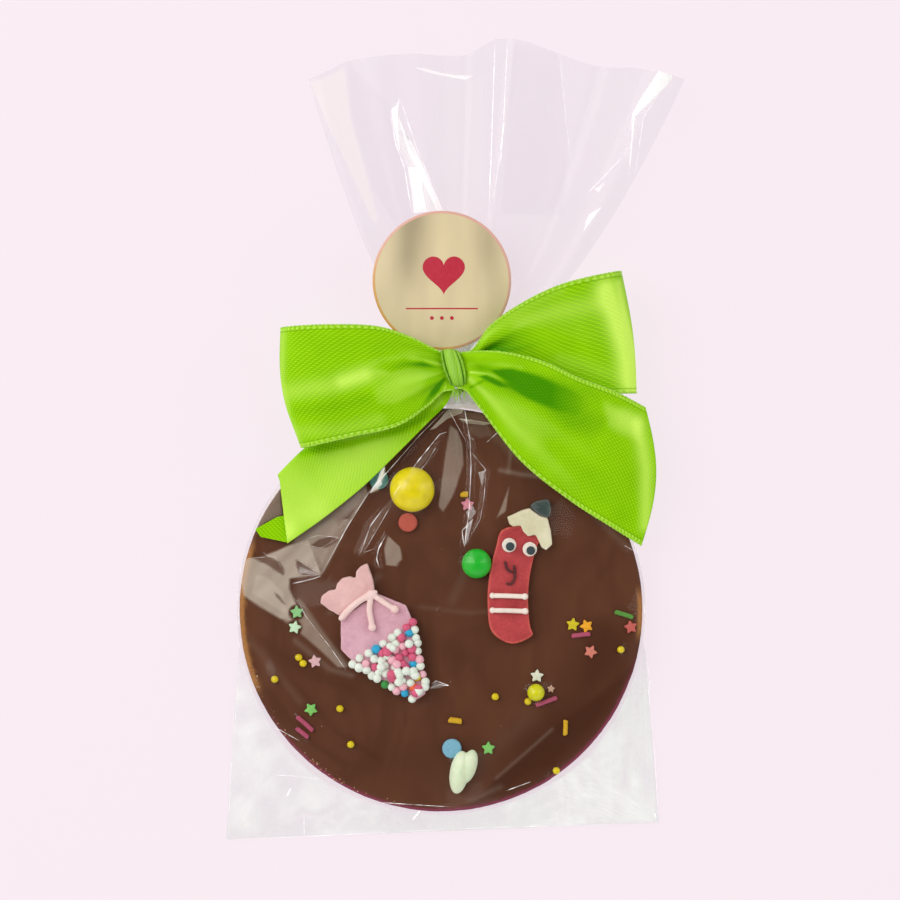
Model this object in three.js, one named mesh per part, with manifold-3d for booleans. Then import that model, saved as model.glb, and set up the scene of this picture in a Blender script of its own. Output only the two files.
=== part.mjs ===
// A round chocolate disc with sugar decorations, in a clear gift bag tied with a satin bow.
// Millimetres, +Z up. The bag lies on its back: the origin is the disc's centre on the surface under it,
// +Y points to the bag's open top, and +Z to its shown side.

import * as THREE from 'three';
import { mergeVertices } from 'three/addons/utils/BufferGeometryUtils.js';
import Module from 'manifold-3d';

const wasm = await Module();
wasm.setup();

// Chocolate disc
const discRadius = 65;
const discFloor = 0.55;
const discFace = 8.2;
const discLip = 0.25;
const seat = 0.04; // air under a topping that is a piece of its own

// Bag: the pouch, its gathered neck and the fan of film above it
const filmBack = 0.5;
const pouchRadius = discRadius + 0.35; // inside of the film round the disc
const pouchHug = pouchRadius + 0.85; // outside of the film where it lies close to the disc
const pouchShoulder = 8.6;
const pouchHem = 1.1;
const pouchCorners = [
  [-69.7, -74.8], [70.6, -69.3], [66.2, -14], [54, 36], [8.5, 69.6], [0.8, 69.6], [-54, 36],
  [-65.6, -14],
];
const neck = { x: 4.8, z: 5.2, halfWide: 3.3, halfDeep: 3.3, low: 66.2, high: 88 };
const fan = { foot: 82, spread: 0.58, film: 1, rise: 2.6, ripple: 2, mouthRipple: 4.8, waves: 2.6 };
const fanMouth = [
  [-43, 171.7], [-30.5, 175.6], [-8.3, 178], [7.1, 179.1], [17.3, 183], [28.6, 181.4],
  [48.2, 176.2], [61.3, 174], [77.7, 169.5],
];

// Satin ribbon: a bow of two loops and two tails, held by a narrow centre band
const ribbonThick = 0.8;
const knot = { x: 4.65, y: 76.4, z: 13.9, halfTall: 8.2, halfDeep: 3.9, wall: 0.9, wide: 9.3, foot: 5.1 };
const tie = { y: 70.4, wire: 0.5, gap: 0.2 };

// Round label
const label = { x: 0.3, y: 105.6, z: 10.75, radius: 22.2, thick: 0.5, lean: 0.028, bow: 0.0022 };

// Sugar school cone: placed by the middle of its tie, turned so that its tip points down to the right
const cone = { x: -26.45, y: 1.83, turn: 34.15, thick: 3.1, bevel: 0.5, tieHalf: 6.9 };
const conePearl = { radius: 1.25, top: 14.6, rowStep: 2.15, columnStep: 2.6, tip: 36, upper: 9 };

// Sugar pencil, and the toppings
const pencil = { thick: 2.6, bevel: 0.4, halfWide: 6.5 };
const eye = {
  radius: 2.3, high: 1.1, pupil: 1.38, pupilHigh: 0.7, places: { left: [21.8, 21], right: [28.4, 19.7] },
};
const stripes = { // the ends in x, and y
  upper: [16.4, 26.8, 4.9], lower: [16.4, 26.9, 0.2],
};
const domes = {
  yellow_dragee: { radius: 7.2, high: 9.4, x: -9.2, y: 38.8, rings: 7, around: 20, look: 'yellowShell' },
  green_dragee: { radius: 4.75, high: 5.6, x: 11.4, y: 15.1, rings: 6, around: 16, look: 'greenShell' },
  lime_ball: { radius: 2.75, high: 5, x: 30.4, y: -26.2, rings: 6, around: 14, look: 'limeShell' },
};
const buttons = {
  blue: { radius: 3.1, high: 1.6, x: 3.5, y: -44.3 },
  red: { radius: 3.05, high: 1.8, x: -10.6, y: 28.2 },
  teal: { radius: 3.1, high: 1.8, x: -19.9, y: 41.9 },
};
const star = { outer: 2.3, inner: 1.2, high: 1.2 };
const strandRadius = 0.75;
const pearlRadius = 1.18;
const sunk = 0.35; // depth that stars and strands sink into the chocolate

const looks = {
  film: { color: '#eee8f0', roughness: 0.12, opacity: 0.3, transparent: true },
  chocolate: { color: '#5a3626', roughness: 0.35 },
  satin: { color: '#8edb1a', roughness: 0.4 },
  wire: { color: '#a08a50', roughness: 0.5 },
  paper: { color: '#d9cfb0', roughness: 0.7 },
  mauveSugar: { color: '#dda9bc', roughness: 0.7 },
  peachSugar: { color: '#e9bfc0', roughness: 0.7 },
  paleSugar: { color: '#f6dcd8', roughness: 0.6 },
  redSugar: { color: '#b8383e', roughness: 0.65 },
  creamSugar: { color: '#e6e2b8', roughness: 0.55 },
  greySugar: { color: '#34464a', roughness: 0.6 },
  whiteSugar: { color: '#f3ecdf', roughness: 0.5 },
  brownSugar: { color: '#4a1a1c', roughness: 0.6 },
  yellowShell: { color: '#e9d713', roughness: 0.25 },
  greenShell: { color: '#22b02c', roughness: 0.25 },
  limeShell: { color: '#c9ce15', roughness: 0.3 },
  bluePress: { color: '#7db6cc', roughness: 0.6 },
  redPress: { color: '#cc5a50', roughness: 0.7 },
  tealPress: { color: '#5e9690', roughness: 0.6 },
  mintSugar: { color: '#d8efc8', roughness: 0.5 },
};

// Random numbers that are the same each time
function seeded(seed) {
  let state = seed;
  return () => {
    state = (state * 16807) % 2147483647;
    return state / 2147483647;
  };
}

// Turns a geometry inside out where its faces point inwards
function facingOut(geometry) {
  const place = geometry.attributes.position;
  const index = geometry.index.array;
  const [a, b, c] = [new THREE.Vector3(), new THREE.Vector3(), new THREE.Vector3()];
  let volume = 0;
  for (let i = 0; i < index.length; i += 3) {
    a.fromBufferAttribute(place, index[i]);
    b.fromBufferAttribute(place, index[i + 1]);
    c.fromBufferAttribute(place, index[i + 2]);
    volume += a.dot(b.cross(c));
  }
  if (volume < 0) {
    for (let i = 0; i < index.length; i += 3) {
      [index[i + 1], index[i + 2]] = [index[i + 2], index[i + 1]];
    }
  }
  return geometry;
}

// One closed shell with shared corners
function shell(geometry) {
  geometry.deleteAttribute('normal');
  geometry.deleteAttribute('uv');
  return facingOut(mergeVertices(geometry, 1e-4));
}

function solidOf(geometry) {
  const closed = shell(geometry);
  const mesh = new wasm.Mesh({
    numProp: 3,
    vertProperties: new Float32Array(closed.attributes.position.array),
    triVerts: new Uint32Array(closed.index.array),
  });
  return new wasm.Manifold(mesh);
}

function geometryOf(solid) {
  const mesh = solid.getMesh();
  const geometry = new THREE.BufferGeometry();
  geometry.setAttribute('position', new THREE.BufferAttribute(new Float32Array(mesh.vertProperties), 3));
  geometry.setIndex(new THREE.BufferAttribute(new Uint32Array(mesh.triVerts), 1));
  return geometry;
}

function fused(geometries) {
  const solids = geometries.map(solidOf);
  return geometryOf(solids.reduce((whole, next) => whole.add(next)));
}

// Moves each corner of a geometry to where the rule puts it
function reshape(geometry, rule) {
  const place = geometry.attributes.position;
  const point = new THREE.Vector3();
  for (let i = 0; i < place.count; i += 1) {
    rule(point.fromBufferAttribute(place, i));
    place.setXYZ(i, point.x, point.y, point.z);
  }
  return geometry;
}

function normalAt(surface, u, v) {
  const step = 0.004;
  const along = surface(Math.min(u + step, 1), v).sub(surface(Math.max(u - step, 0), v));
  const across = surface(u, Math.min(v + step, 1)).sub(surface(u, Math.max(v - step, 0)));
  return along.cross(across).normalize();
}

// A sheet of even thickness on a surface given over u and v from 0 to 1
function sheetGeometry(columns, rows, thickness, surface) {
  const box = new THREE.BoxGeometry(1, 1, 1, columns, rows, 1);
  return reshape(box, (point) => {
    const [u, v] = [point.x + 0.5, point.y + 0.5];
    const offset = point.z * thickness;
    point.copy(surface(u, v)).addScaledVector(normalAt(surface, u, v), offset);
  });
}

// A turned form round the Z axis, from pairs of radius and height
function turned(profile, segments) {
  const points = profile.map(([radius, height]) => new THREE.Vector2(radius, height));
  return new THREE.LatheGeometry(points, segments).rotateX(Math.PI / 2);
}

// An ellipsoid lying on the chocolate, cut flat where it is sunk
function dome(radius, high, rings, segments) {
  const profile = [[0, 0]];
  const halfHigh = high * 0.56;
  const start = -Math.asin((high - halfHigh) / halfHigh);
  for (let i = 0; i <= rings; i += 1) {
    const angle = start + ((Math.PI / 2 - start) * i) / rings;
    const reach = i === rings ? 0 : radius * Math.cos(angle);
    profile.push([reach, high - halfHigh + halfHigh * Math.sin(angle)]);
  }
  return turned(profile, segments);
}

// A flat pressed sweet with a rounded edge
function button(radius, high) {
  const edge = 0.4;
  return turned([[0, 0], [radius - edge / 2, 0], [radius, edge], [radius, high - edge],
    [radius - edge, high], [0, high]], 20);
}

// A plate cut to an outline of corners or a smooth curve through them, with a rounded upper edge
function plate(corners, thick, bevel, smooth = true, steps = 30) {
  const points = corners.map(([x, y]) => new THREE.Vector3(x, y, 0));
  const curve = new THREE.CatmullRomCurve3(points, true, 'centripetal');
  const outline = smooth ? curve.getPoints(steps).slice(0, -1) : points;
  const shape = new THREE.Shape(outline.map((point) => new THREE.Vector2(point.x, point.y)));
  const geometry = new THREE.ExtrudeGeometry(shape, {
    depth: thick - 2 * bevel,
    bevelEnabled: true,
    bevelThickness: bevel,
    bevelSize: bevel,
    bevelOffset: -bevel,
    bevelSegments: 1,
  });
  return geometry.translate(0, 0, bevel);
}

// A round bead of paste along a curve
function bead(points, radius, steps) {
  const curve = new THREE.CatmullRomCurve3(points.map(([x, y]) => new THREE.Vector3(x, y, 0)));
  const ring = new THREE.Shape().absarc(0, 0, radius, 0, 2 * Math.PI);
  return new THREE.ExtrudeGeometry(ring, { steps, curveSegments: 3, extrudePath: curve });
}

// A bead whose ends are blobs
function piped(points, radius, endRadius, steps) {
  const ends = [points[0], points[points.length - 1]].map(([x, y]) => (
    new THREE.SphereGeometry(endRadius, 6, 4).translate(x, y, 0)));
  return fused([bead(points, radius, steps), ...ends]);
}

function onChocolate(geometry, x, y, lift = seat) {
  return geometry.translate(x, y, discFace + lift);
}

// Distance from the disc's centre to the pouch's outline at an angle
function pouchReach(angle) {
  const ray = new THREE.Vector2(Math.cos(angle), Math.sin(angle));
  let reach = pouchHug;
  pouchCorners.forEach(([x, y], i) => {
    const [nextX, nextY] = pouchCorners[(i + 1) % pouchCorners.length];
    const [edgeX, edgeY] = [nextX - x, nextY - y];
    const lean = ray.x * edgeY - ray.y * edgeX;
    const along = (x * edgeY - y * edgeX) / lean;
    const share = (x * ray.y - y * ray.x) / lean;
    if (along > reach && share >= -1e-6 && share <= 1 + 1e-6) {
      reach = along;
    }
  });
  return reach;
}

// The nearest outline corner, where one lies within half a step of the angle
function toCorner(angle, step) {
  const corner = pouchCorners
    .map(([x, y]) => Math.atan2(y, x))
    .find((candidate) => Math.abs(candidate - angle) < step / 2);
  return corner === undefined ? angle : corner;
}

// The back film with a hollow for the disc, and film sloping from the disc's edge to the seams
function pouch() {
  const segments = 90;
  const slope = [1, 0.62, 0.28, 0];
  const profile = [[0, 0], [pouchRadius + 1, 0]];
  slope.forEach((share) => {
    profile.push([pouchRadius + share, pouchHem + (pouchShoulder - pouchHem) * (1 - share) ** 1.3]);
  });
  profile.push([pouchRadius, filmBack], [0, filmBack]);
  return reshape(turned(profile, segments), (point) => {
    const radius = Math.hypot(point.x, point.y);
    if (radius < pouchRadius + 0.01) {
      return;
    }
    const angle = toCorner(Math.atan2(point.y, point.x), (2 * Math.PI) / segments);
    const reach = pouchRadius + (radius - pouchRadius) * (pouchReach(angle) - pouchRadius);
    point.x = reach * Math.cos(angle);
    point.y = reach * Math.sin(angle);
  });
}

// The film gathered into a pleated bundle, widening at both ends
function pouchNeck() {
  const pleats = 7;
  // share of the length, and how many times wider and deeper the bundle is there
  const sections = [
    [0, 2.6, 0.95], [0.09, 1.3, 1], [0.16, 1, 1], [0.74, 1, 1], [0.88, 1.5, 0.85], [1, 2.4, 0.55],
  ];
  const profile = [[0, sections[0][0]], ...sections.map(([height]) => [1, height]), [0, 1]];
  const points = profile.map(([radius, height]) => new THREE.Vector2(radius, height));
  return reshape(new THREE.LatheGeometry(points, 28), (point) => {
    const angle = Math.atan2(point.z, point.x);
    const [, wide, deep] = sections.find(([height]) => Math.abs(height - point.y) < 1e-6);
    const pleat = 1 + 0.09 * Math.cos(pleats * angle);
    point.x = neck.x + point.x * neck.halfWide * wide * pleat;
    point.z = neck.z + point.z * neck.halfDeep * deep * pleat;
    point.y = neck.low + point.y * (neck.high - neck.low);
  });
}

function alongPoints(points, share) {
  const place = share * (points.length - 1);
  const low = Math.min(Math.floor(place), points.length - 2);
  const [from, to] = [points[low], points[low + 1]];
  return from.map((value, axis) => value + (to[axis] - value) * (place - low));
}

// The fan spreads quickly from the neck and ripples more towards its mouth
function fanSurface(u, v) {
  const rise = v ** 1.5;
  const [mouthX, mouthY] = alongPoints(fanMouth, u);
  const footX = neck.x + (u - 0.5) * 2 * neck.halfWide;
  const ripple = (fan.ripple + fan.mouthRipple * rise) * Math.min(1, 4 * rise);
  return new THREE.Vector3(
    footX + (mouthX - footX) * rise ** fan.spread,
    fan.foot + (mouthY - fan.foot) * rise,
    neck.z + fan.rise * rise - ripple * Math.cos(2 * Math.PI * fan.waves * u),
  );
}

function bag() {
  return fused([pouch(), pouchNeck(), sheetGeometry(22, 10, fan.film, fanSurface)]);
}

function starPlate(outer, angle) {
  const corners = [];
  for (let i = 0; i < 10; i += 1) {
    const reach = i % 2 ? (outer * star.inner) / star.outer : outer;
    const turn = angle + (i * Math.PI) / 5;
    corners.push(new THREE.Vector2(reach * Math.cos(turn), reach * Math.sin(turn)));
  }
  return new THREE.ExtrudeGeometry(new THREE.Shape(corners), { depth: star.high, bevelEnabled: false });
}

const stars = [
  [-46.2, -0.6, 0.4], [-46.9, -5.5, 0.1], [-40.4, -16.4, 0.5], [-41.7, -31.8, 0.9], [8.5, 33.9, 0.3],
  [42.3, -4.6, 0.2], [46.7, -5.1, 0.7], [48, -13.3, 1.1], [60.9, -5.4, 0.5], [30.8, -21.1, 1.5],
  [15.2, -44.3, 0.3],
];
const brokenStar = [35.3, -25.2, 0.2];
const strands = [
  [-46, -34.2, -41.2, -38.5], [-46.2, -37.9, -42.7, -40.7], [42.1, -8.2, 47.7, -7.6],
  [30.6, -30.4, 37, -28.1], [56, -0.5, 61.4, -2.2], [40, -35.4, 39.9, -39.8],
];
const thickStrands = [[2.8, -35.1, 6.4, -35.6], [6.8, 37.2, 8.4, 37.2]];
const thickStrandRadius = 1.1;
const pearls = [
  [-45.6, -15.1], [-44.2, -17], [-53.3, -22.1], [-32.4, -31.5], [-28.9, -43], [17.4, -27.7],
  [27.9, -29.2], [37, -51.4], [57.7, -12.6],
];

function strand([fromX, fromY, toX, toY], radius) {
  const length = Math.hypot(toX - fromX, toY - fromY);
  const rod = new THREE.CapsuleGeometry(radius, length - radius, 1, 6);
  rod.rotateZ(Math.atan2(toY - fromY, toX - fromX) - Math.PI / 2);
  return rod.translate((fromX + toX) / 2, (fromY + toY) / 2, discFace + radius - sunk);
}

// The cast disc with a faint lip, and its small toppings half sunk in it
function chocolateDisc() {
  const edge = discFace + discLip;
  const disc = turned([
    [0, discFloor], [discRadius - 1.2, discFloor], [discRadius - 0.2, discFloor + 1],
    [discRadius, discFloor + 3],
    [discRadius - 0.1, edge - 0.6], [discRadius - 0.8, edge], [discRadius - 3, discFace], [0, discFace],
  ], 64);
  const parts = [disc];
  stars.forEach(([x, y, angle]) => {
    parts.push(starPlate(star.outer, angle).translate(x, y, discFace - sunk));
  });
  const [brokenX, brokenY, brokenAngle] = brokenStar;
  parts.push(starPlate(star.outer * 0.6, brokenAngle).translate(brokenX, brokenY, discFace - sunk));
  strands.forEach((ends) => parts.push(strand(ends, strandRadius)));
  thickStrands.forEach((ends) => parts.push(strand(ends, thickStrandRadius)));
  pearls.forEach(([x, y]) => {
    parts.push(new THREE.SphereGeometry(pearlRadius, 6, 4).translate(x, y, discFace + pearlRadius - sunk));
  });
  return fused(parts);
}

// Half width of the cone, measured down from its tie
const coneHalfWidths = [[0.4, 7], [8.7, 12.6], [14.5, 11.5], [20, 9.2], [25, 6.7], [31, 4.1], [35.6, 1.8]];

function coneHalf(down) {
  const next = coneHalfWidths.findIndex(([depth]) => depth >= down);
  if (next < 1) {
    return coneHalfWidths[next === 0 ? 0 : coneHalfWidths.length - 1][1];
  }
  const [[fromDown, fromHalf], [toDown, toHalf]] = [coneHalfWidths[next - 1], coneHalfWidths[next]];
  return fromHalf + ((toHalf - fromHalf) * (down - fromDown)) / (toDown - fromDown);
}

// The paper cone's flat body, its lower part covered with sugar pearls
function coneWrap() {
  const left = coneHalfWidths.map(([down, half]) => [-half, -down]);
  const right = coneHalfWidths.map(([down, half]) => [half, -down]).reverse();
  const parts = [plate([...left, ...right], cone.thick, cone.bevel, false)];
  const random = seeded(11);
  let row = 0;
  for (let down = conePearl.top; down <= conePearl.tip; down += conePearl.rowStep) {
    const half = coneHalf(down) + 0.15;
    const count = Math.max(1, Math.round((2 * half) / conePearl.columnStep) + (row % 2));
    for (let i = 0; i < count; i += 1) {
      const across = count === 1 ? 0 : -half + (2 * half * i) / (count - 1);
      const jitter = [random() - 0.5, random() - 0.5, random() - 0.5].map((value) => 0.5 * value);
      parts.push(conePearlAt(across + jitter[0], -down + jitter[1], cone.thick + 0.35 + jitter[2]));
    }
    row += 1;
  }
  for (let i = 0; i < conePearl.upper; i += 1) {
    const down = conePearl.top + 1.5 + (conePearl.tip - conePearl.top - 4) * random();
    const across = (2 * random() - 1) * (coneHalf(down) - 1.5);
    parts.push(conePearlAt(across, -down, cone.thick + 1.6));
  }
  return fused(parts);
}

function conePearlAt(x, y, z) {
  return new THREE.IcosahedronGeometry(conePearl.radius).rotateX(0.6).translate(x, y, z);
}

// Three scallops above the tie
function coneRuff() {
  return plate([
    [-cone.tieHalf, 0.7], [-8.6, 4], [-9.7, 7.3], [-8, 8.9], [-5, 9], [-3.4, 8], [-1.8, 9.4],
    [0.6, 9.9], [3, 9],
    [4.1, 7.5], [5.4, 9.2], [7.6, 9.8], [9.9, 9.4], [8.6, 4.5], [cone.tieHalf, 0.7],
  ], cone.thick, cone.bevel, false);
}

// The cord round the gathered paper, with a blob of a knot and two short ends
function coneTie() {
  const half = 1;
  const cord = bead([[-7.6, -0.6], [-3, 0.5], [1.5, 0.9], [7.6, 0.3]], half, 4);
  const blob = new THREE.SphereGeometry(1, 10, 6)
    .scale(2.1, 1.7, 1.1 * half)
    .translate(5.3, 0.4, 0.1 * half);
  const longEnd = piped([[4.6, -0.4], [2.2, -3.2], [0.9, -6], [-0.2, -8.4]], 0.9 * half, 1.35 * half, 4);
  const shortEnd = piped([[6, -0.4], [7.2, -3.4], [8.1, -5.6], [9, -7.6]], 0.9 * half, 1.4 * half, 4);
  return fused([cord, blob, longEnd, shortEnd]).translate(0, 0, cone.thick + 1.4 * half + seat);
}

// The pencil bends along a parabola
function pencilMiddle(y) {
  return 21.4 + 0.0097 * (y - 3.5) ** 2;
}

const pencilCap = [
  [21.2, 30], [21.9, 27.7], [23.1, 26.9], [25.5, 27.3], [26.3, 25.3], [27.8, 23.8], [30.3, 24.3],
  [31.4, 22],
  [32.2, 20.2], [33.6, 19.4], [35.6, 21.2], [35.1, 25.4], [34.1, 29.7], [31.8, 30.3], [28.3, 32.8],
  [25.6, 32],
];
const pencilLeadOutline = [
  [28.8, 33.3], [29.7, 34.9], [32.2, 35.5], [34.5, 34.4], [35.1, 32], [33.9, 30.2], [32.3, 30.8],
  [30.2, 32.4],
];

function pencilBody() {
  const corners = [];
  const heights = [-5.5, 0, 5, 10, 15, 20, 26];
  heights.forEach((y) => corners.push([pencilMiddle(y) + pencil.halfWide, y]));
  heights.reverse().forEach((y) => corners.push([pencilMiddle(y) - pencil.halfWide, y]));
  corners.push([pencilMiddle(-8) - 4.4, -8.6], [pencilMiddle(-9), -9.9], [pencilMiddle(-8) + 4.4, -8.4]);
  const body = solidOf(plate(corners, pencil.thick, pencil.bevel, true, 36));
  const room = new THREE.ExtrudeGeometry(
    new THREE.Shape(pencilCap.map(([x, y]) => new THREE.Vector2(x, y))),
    { depth: 10, bevelEnabled: true, bevelThickness: 1, bevelSize: 0.15, bevelSegments: 1 },
  ).translate(0, 0, -5);
  return geometryOf(body.subtract(solidOf(room)));
}

function pencilStripe(leftX, rightX, y) {
  const endRadius = 0.95;
  const line = piped([[leftX, y], [(leftX + rightX) / 2, y - 0.1], [rightX, y - 0.3]], 0.75, endRadius, 2);
  return onPencil(line.translate(0, 0, endRadius));
}

// The painted nose and smile are thin beads
function pencilStroke(points) {
  const radius = 0.38;
  return onPencil(bead(points, radius, 5).translate(0, 0, radius));
}

function onPencil(geometry) {
  return geometry.translate(0, 0, discFace + pencil.thick + 2 * seat);
}

function mintPiece() {
  const lobe = (x, y, halfWide, halfLong, high, turn) => (
    new THREE.SphereGeometry(1, 12, 8)
      .scale(halfWide, halfLong, high)
      .rotateZ(THREE.MathUtils.degToRad(turn))
      .translate(x, y, discFace + seat + 1.6));
  const lobes = fused([lobe(5.9, -51.8, 3.1, 7, 3.2, -9), lobe(8.9, -49.9, 2.6, 5.6, 2.9, -16)]);
  const below = new THREE.BoxGeometry(40, 40, 20).translate(7, -50, discFace + seat - 10);
  const { radius, x: buttonX, y: buttonY } = buttons.blue;
  const room = onChocolate(button(radius + 0.2, 2), buttonX, buttonY, -0.1);
  return geometryOf(solidOf(lobes).subtract(solidOf(below)).subtract(solidOf(room)));
}

function labelDisc() {
  const { radius, thick } = label;
  const rings = [0, 0.45, 0.8, 1];
  const under = rings.map((share) => [share * radius, 0]);
  const over = rings.map((share) => [share * radius, thick]).reverse();
  const disc = turned([...under, ...over], 36);
  return reshape(disc, (point) => {
    point.z += label.z + label.lean * point.y - label.bow * point.x ** 2;
    point.x += label.x;
    point.y += label.y;
  });
}

// A band of ribbon between two edges, each a smooth curve, with a swell across its width
function bandSurface(lower, upper, swell, hollow = 1) {
  const low = new THREE.CatmullRomCurve3(lower.map((point) => new THREE.Vector3(...point)));
  const high = new THREE.CatmullRomCurve3(upper.map((point) => new THREE.Vector3(...point)));
  return (u, v) => {
    const [from, to] = [low.getPoint(u), high.getPoint(u)];
    const point = from.clone().lerp(to, v);
    point.z = from.z + (to.z - from.z) * v ** hollow;
    return point.addScaledVector(swell(u), Math.sin(Math.PI * v));
  };
}

// How near a band is to the fold at its middle
function nearFold(u) {
  return Math.exp(-(((u - 0.5) / 0.12) ** 2));
}

function bowLoopLeft() {
  const lower = [
    [4.4, 70.6, 15.3], [0.8, 70, 15.4], [-4, 65.6, 16.4], [-13.2, 59.4, 18.6], [-29.2, 55.5, 19.6],
    [-42.2, 52.6, 18.8],
    [-44.4, 52.3, 16.5], [-42, 52.5, 14.1], [-29, 56.5, 13.6], [-13, 61.5, 13.5], [0.8, 70.2, 13.6],
    [4.4, 70.8, 13.6],
  ];
  const upper = [
    [4.4, 82.2, 15.3], [0.2, 82.6, 15.4], [-10, 87.3, 18.4], [-19.6, 90.2, 20.8], [-35.6, 90.8, 22],
    [-48.3, 90.2, 20.6],
    [-50.6, 89.9, 17.4], [-48, 89.7, 14.4], [-35, 89.3, 13.7], [-18, 86.6, 13.6], [0.2, 82.2, 13.6],
    [4.4, 82, 13.6],
  ];
  const swell = (u) => {
    const rise = u < 0.5 ? 1.4 * Math.sin(2 * Math.PI * u) : 0;
    return new THREE.Vector3(-3 * nearFold(u), 0, rise);
  };
  return sheetGeometry(20, 5, ribbonThick, bandSurface(lower, upper, swell));
}

function bowLoopRight() {
  const lower = [
    [5.2, 70.8, 14], [9.6, 70.6, 13.9], [15, 70.2, 14], [25.4, 69.6, 14.1], [38.2, 69.4, 14.1],
    [59.8, 69.6, 14],
    [62.3, 69.7, 12.4], [59.8, 69.9, 10.9], [38, 70.6, 10.7], [25, 71, 10.9], [15, 71.2, 11.4],
    [9.4, 71, 12], [5.2, 71, 12.2],
  ];
  const upper = [
    [5.2, 82, 14], [9.6, 83, 14], [15.7, 90.8, 16.4], [25.4, 97.6, 19], [38.2, 103.6, 21],
    [54.6, 107.5, 20.6],
    [57.2, 107.9, 17], [54.6, 107.4, 13.9], [38, 102.6, 13], [25, 96.4, 12.9], [15, 89, 12.9],
    [9.4, 82.6, 12.3], [5.2, 81.8, 12.2],
  ];
  const swell = (u) => new THREE.Vector3(1.2 * nearFold(u), 0, 0);
  return sheetGeometry(20, 6, ribbonThick, bandSurface(lower, upper, swell, 1.8));
}

function bowTailRight() {
  const lower = [
    [5.2, 71.2, 15.7], [7.6, 70.6, 15.8], [11.5, 66, 15.9], [25.4, 48.2, 14.4], [41.4, 35.3, 12.4],
    [54, 27.2, 11.2], [64.2, 20.9, 10.4],
  ];
  const upper = [
    [5.2, 82.2, 15.7], [9.6, 82.6, 16], [18.9, 82.5, 17.4], [31.8, 79.6, 18], [43, 74.5, 17.6],
    [54.9, 70, 16.6], [65.2, 64.8, 14],
  ];
  const swell = (u) => new THREE.Vector3(4 * u ** 3, 0, 1.2 * Math.sin(Math.PI * u));
  return sheetGeometry(12, 6, ribbonThick, bandSurface(lower, upper, swell));
}

// The left tail is folded lengthwise, with its upper part turned under
function bowTailLeft() {
  const lower = [
    [4.4, 71.4, 12.5], [1.2, 69, 12.5], [-6.5, 60, 12.4], [-15.5, 49.5, 12.9], [-24.4, 40.1, 12.9],
    [-37, 30, 12], [-49.1, 21.5, 11],
  ];
  const upper = [
    [4.4, 81.4, 12.5], [-2, 78.8, 12.4], [-14, 73, 12.2], [-25, 65.5, 12.2], [-34.5, 58, 12.1],
    [-43.5, 51, 11.8], [-51.7, 43, 11.4],
  ];
  const front = bandSurface(lower, upper, () => new THREE.Vector3(0, 0, 0.3));
  const foldAt = 0.56;
  const drop = (u) => 0.8 + 0.7 * Math.min(1, 5 * u);
  const main = sheetGeometry(10, 9, ribbonThick * 0.75, (u, v) => {
    if (v <= foldAt) {
      return front(u, v / foldAt);
    }
    const turnedUnder = Math.min(1, (v - foldAt) / 0.1);
    const inward = 1 - Math.max(0, (v - foldAt - 0.05) / foldAt) * 0.95;
    const point = front(u, inward);
    point.z -= (drop(u) / 2) * (1 - Math.cos(Math.PI * turnedUnder));
    const outward = new THREE.Vector3(-0.72, 0.69, 0).multiplyScalar(0.7 * Math.sin(Math.PI * turnedUnder));
    return point.add(outward);
  });
  const cornerOutline = [[-47, 24], [-47.6, 31], [-52.4, 30], [-59.4, 26.1], [-57.6, 23.6], [-49, 21.8]];
  const corner = plate(cornerOutline, 0.6, 0.1, false);
  return fused([main, corner.translate(0, 0, 10.3)]);
}

function ovalPoints(halfTall, halfDeep, count) {
  const points = [];
  for (let i = 0; i < count; i += 1) {
    const angle = (2 * Math.PI * i) / count;
    const [c, s] = [Math.cos(angle), Math.sin(angle)];
    points.push(new THREE.Vector2(
      Math.sign(c) * Math.sqrt(Math.abs(c)) * halfTall,
      Math.sign(s) * Math.sqrt(Math.abs(s)) * halfDeep,
    ));
  }
  return points;
}

// The centre band goes round the roots of the loops and tails, and narrows towards its lower end
function bowKnot() {
  const { halfTall, halfDeep, wall, wide } = knot;
  const band = new THREE.Shape(ovalPoints(halfTall, halfDeep, 28));
  band.holes.push(new THREE.Path(ovalPoints(halfTall - wall, halfDeep - wall, 28)));
  const ring = new THREE.ExtrudeGeometry(band, { depth: wide, bevelEnabled: false });
  return reshape(ring, (point) => {
    const [tall, deep, across] = [point.x, point.y, point.z - wide / 2];
    const share = (halfTall - tall) / (2 * halfTall);
    const narrow = 1 + (knot.foot / wide - 1) * share;
    point.set(knot.x + 0.8 * share + across * narrow, knot.y + tall, knot.z + deep);
  });
}

// The wire that closes the bag's neck under the bow
function neckTie() {
  const ring = new THREE.TorusGeometry(1, 0.1, 5, 18).rotateX(Math.PI / 2);
  const reach = (half) => half * 1.1 + tie.gap + tie.wire;
  return reshape(ring, (point) => {
    const angle = Math.atan2(point.z, point.x);
    const off = (Math.hypot(point.x, point.z) - 1) / 0.1;
    point.x = neck.x + Math.cos(angle) * (reach(neck.halfWide) + off * tie.wire);
    point.z = neck.z + Math.sin(angle) * (reach(neck.halfDeep) + off * tie.wire);
    point.y = tie.y + (point.y / 0.1) * tie.wire;
  });
}

const model = new THREE.Group();

function addPiece(group, name, geometry, look) {
  const material = new THREE.MeshStandardMaterial({ metalness: 0, ...looks[look] });
  const mesh = new THREE.Mesh(shell(geometry), material);
  mesh.name = name;
  group.add(mesh);
}

function addBag() {
  addPiece(model, 'bag', bag(), 'film');
  addPiece(model, 'neck_tie', neckTie(), 'wire');
  addPiece(model, 'label', labelDisc(), 'paper');
}

function addBow() {
  addPiece(model, 'bow_loop_left', bowLoopLeft(), 'satin');
  addPiece(model, 'bow_loop_right', bowLoopRight(), 'satin');
  addPiece(model, 'bow_tail_left', bowTailLeft(), 'satin');
  addPiece(model, 'bow_tail_right', bowTailRight(), 'satin');
  addPiece(model, 'bow_knot', bowKnot(), 'satin');
}

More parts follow.
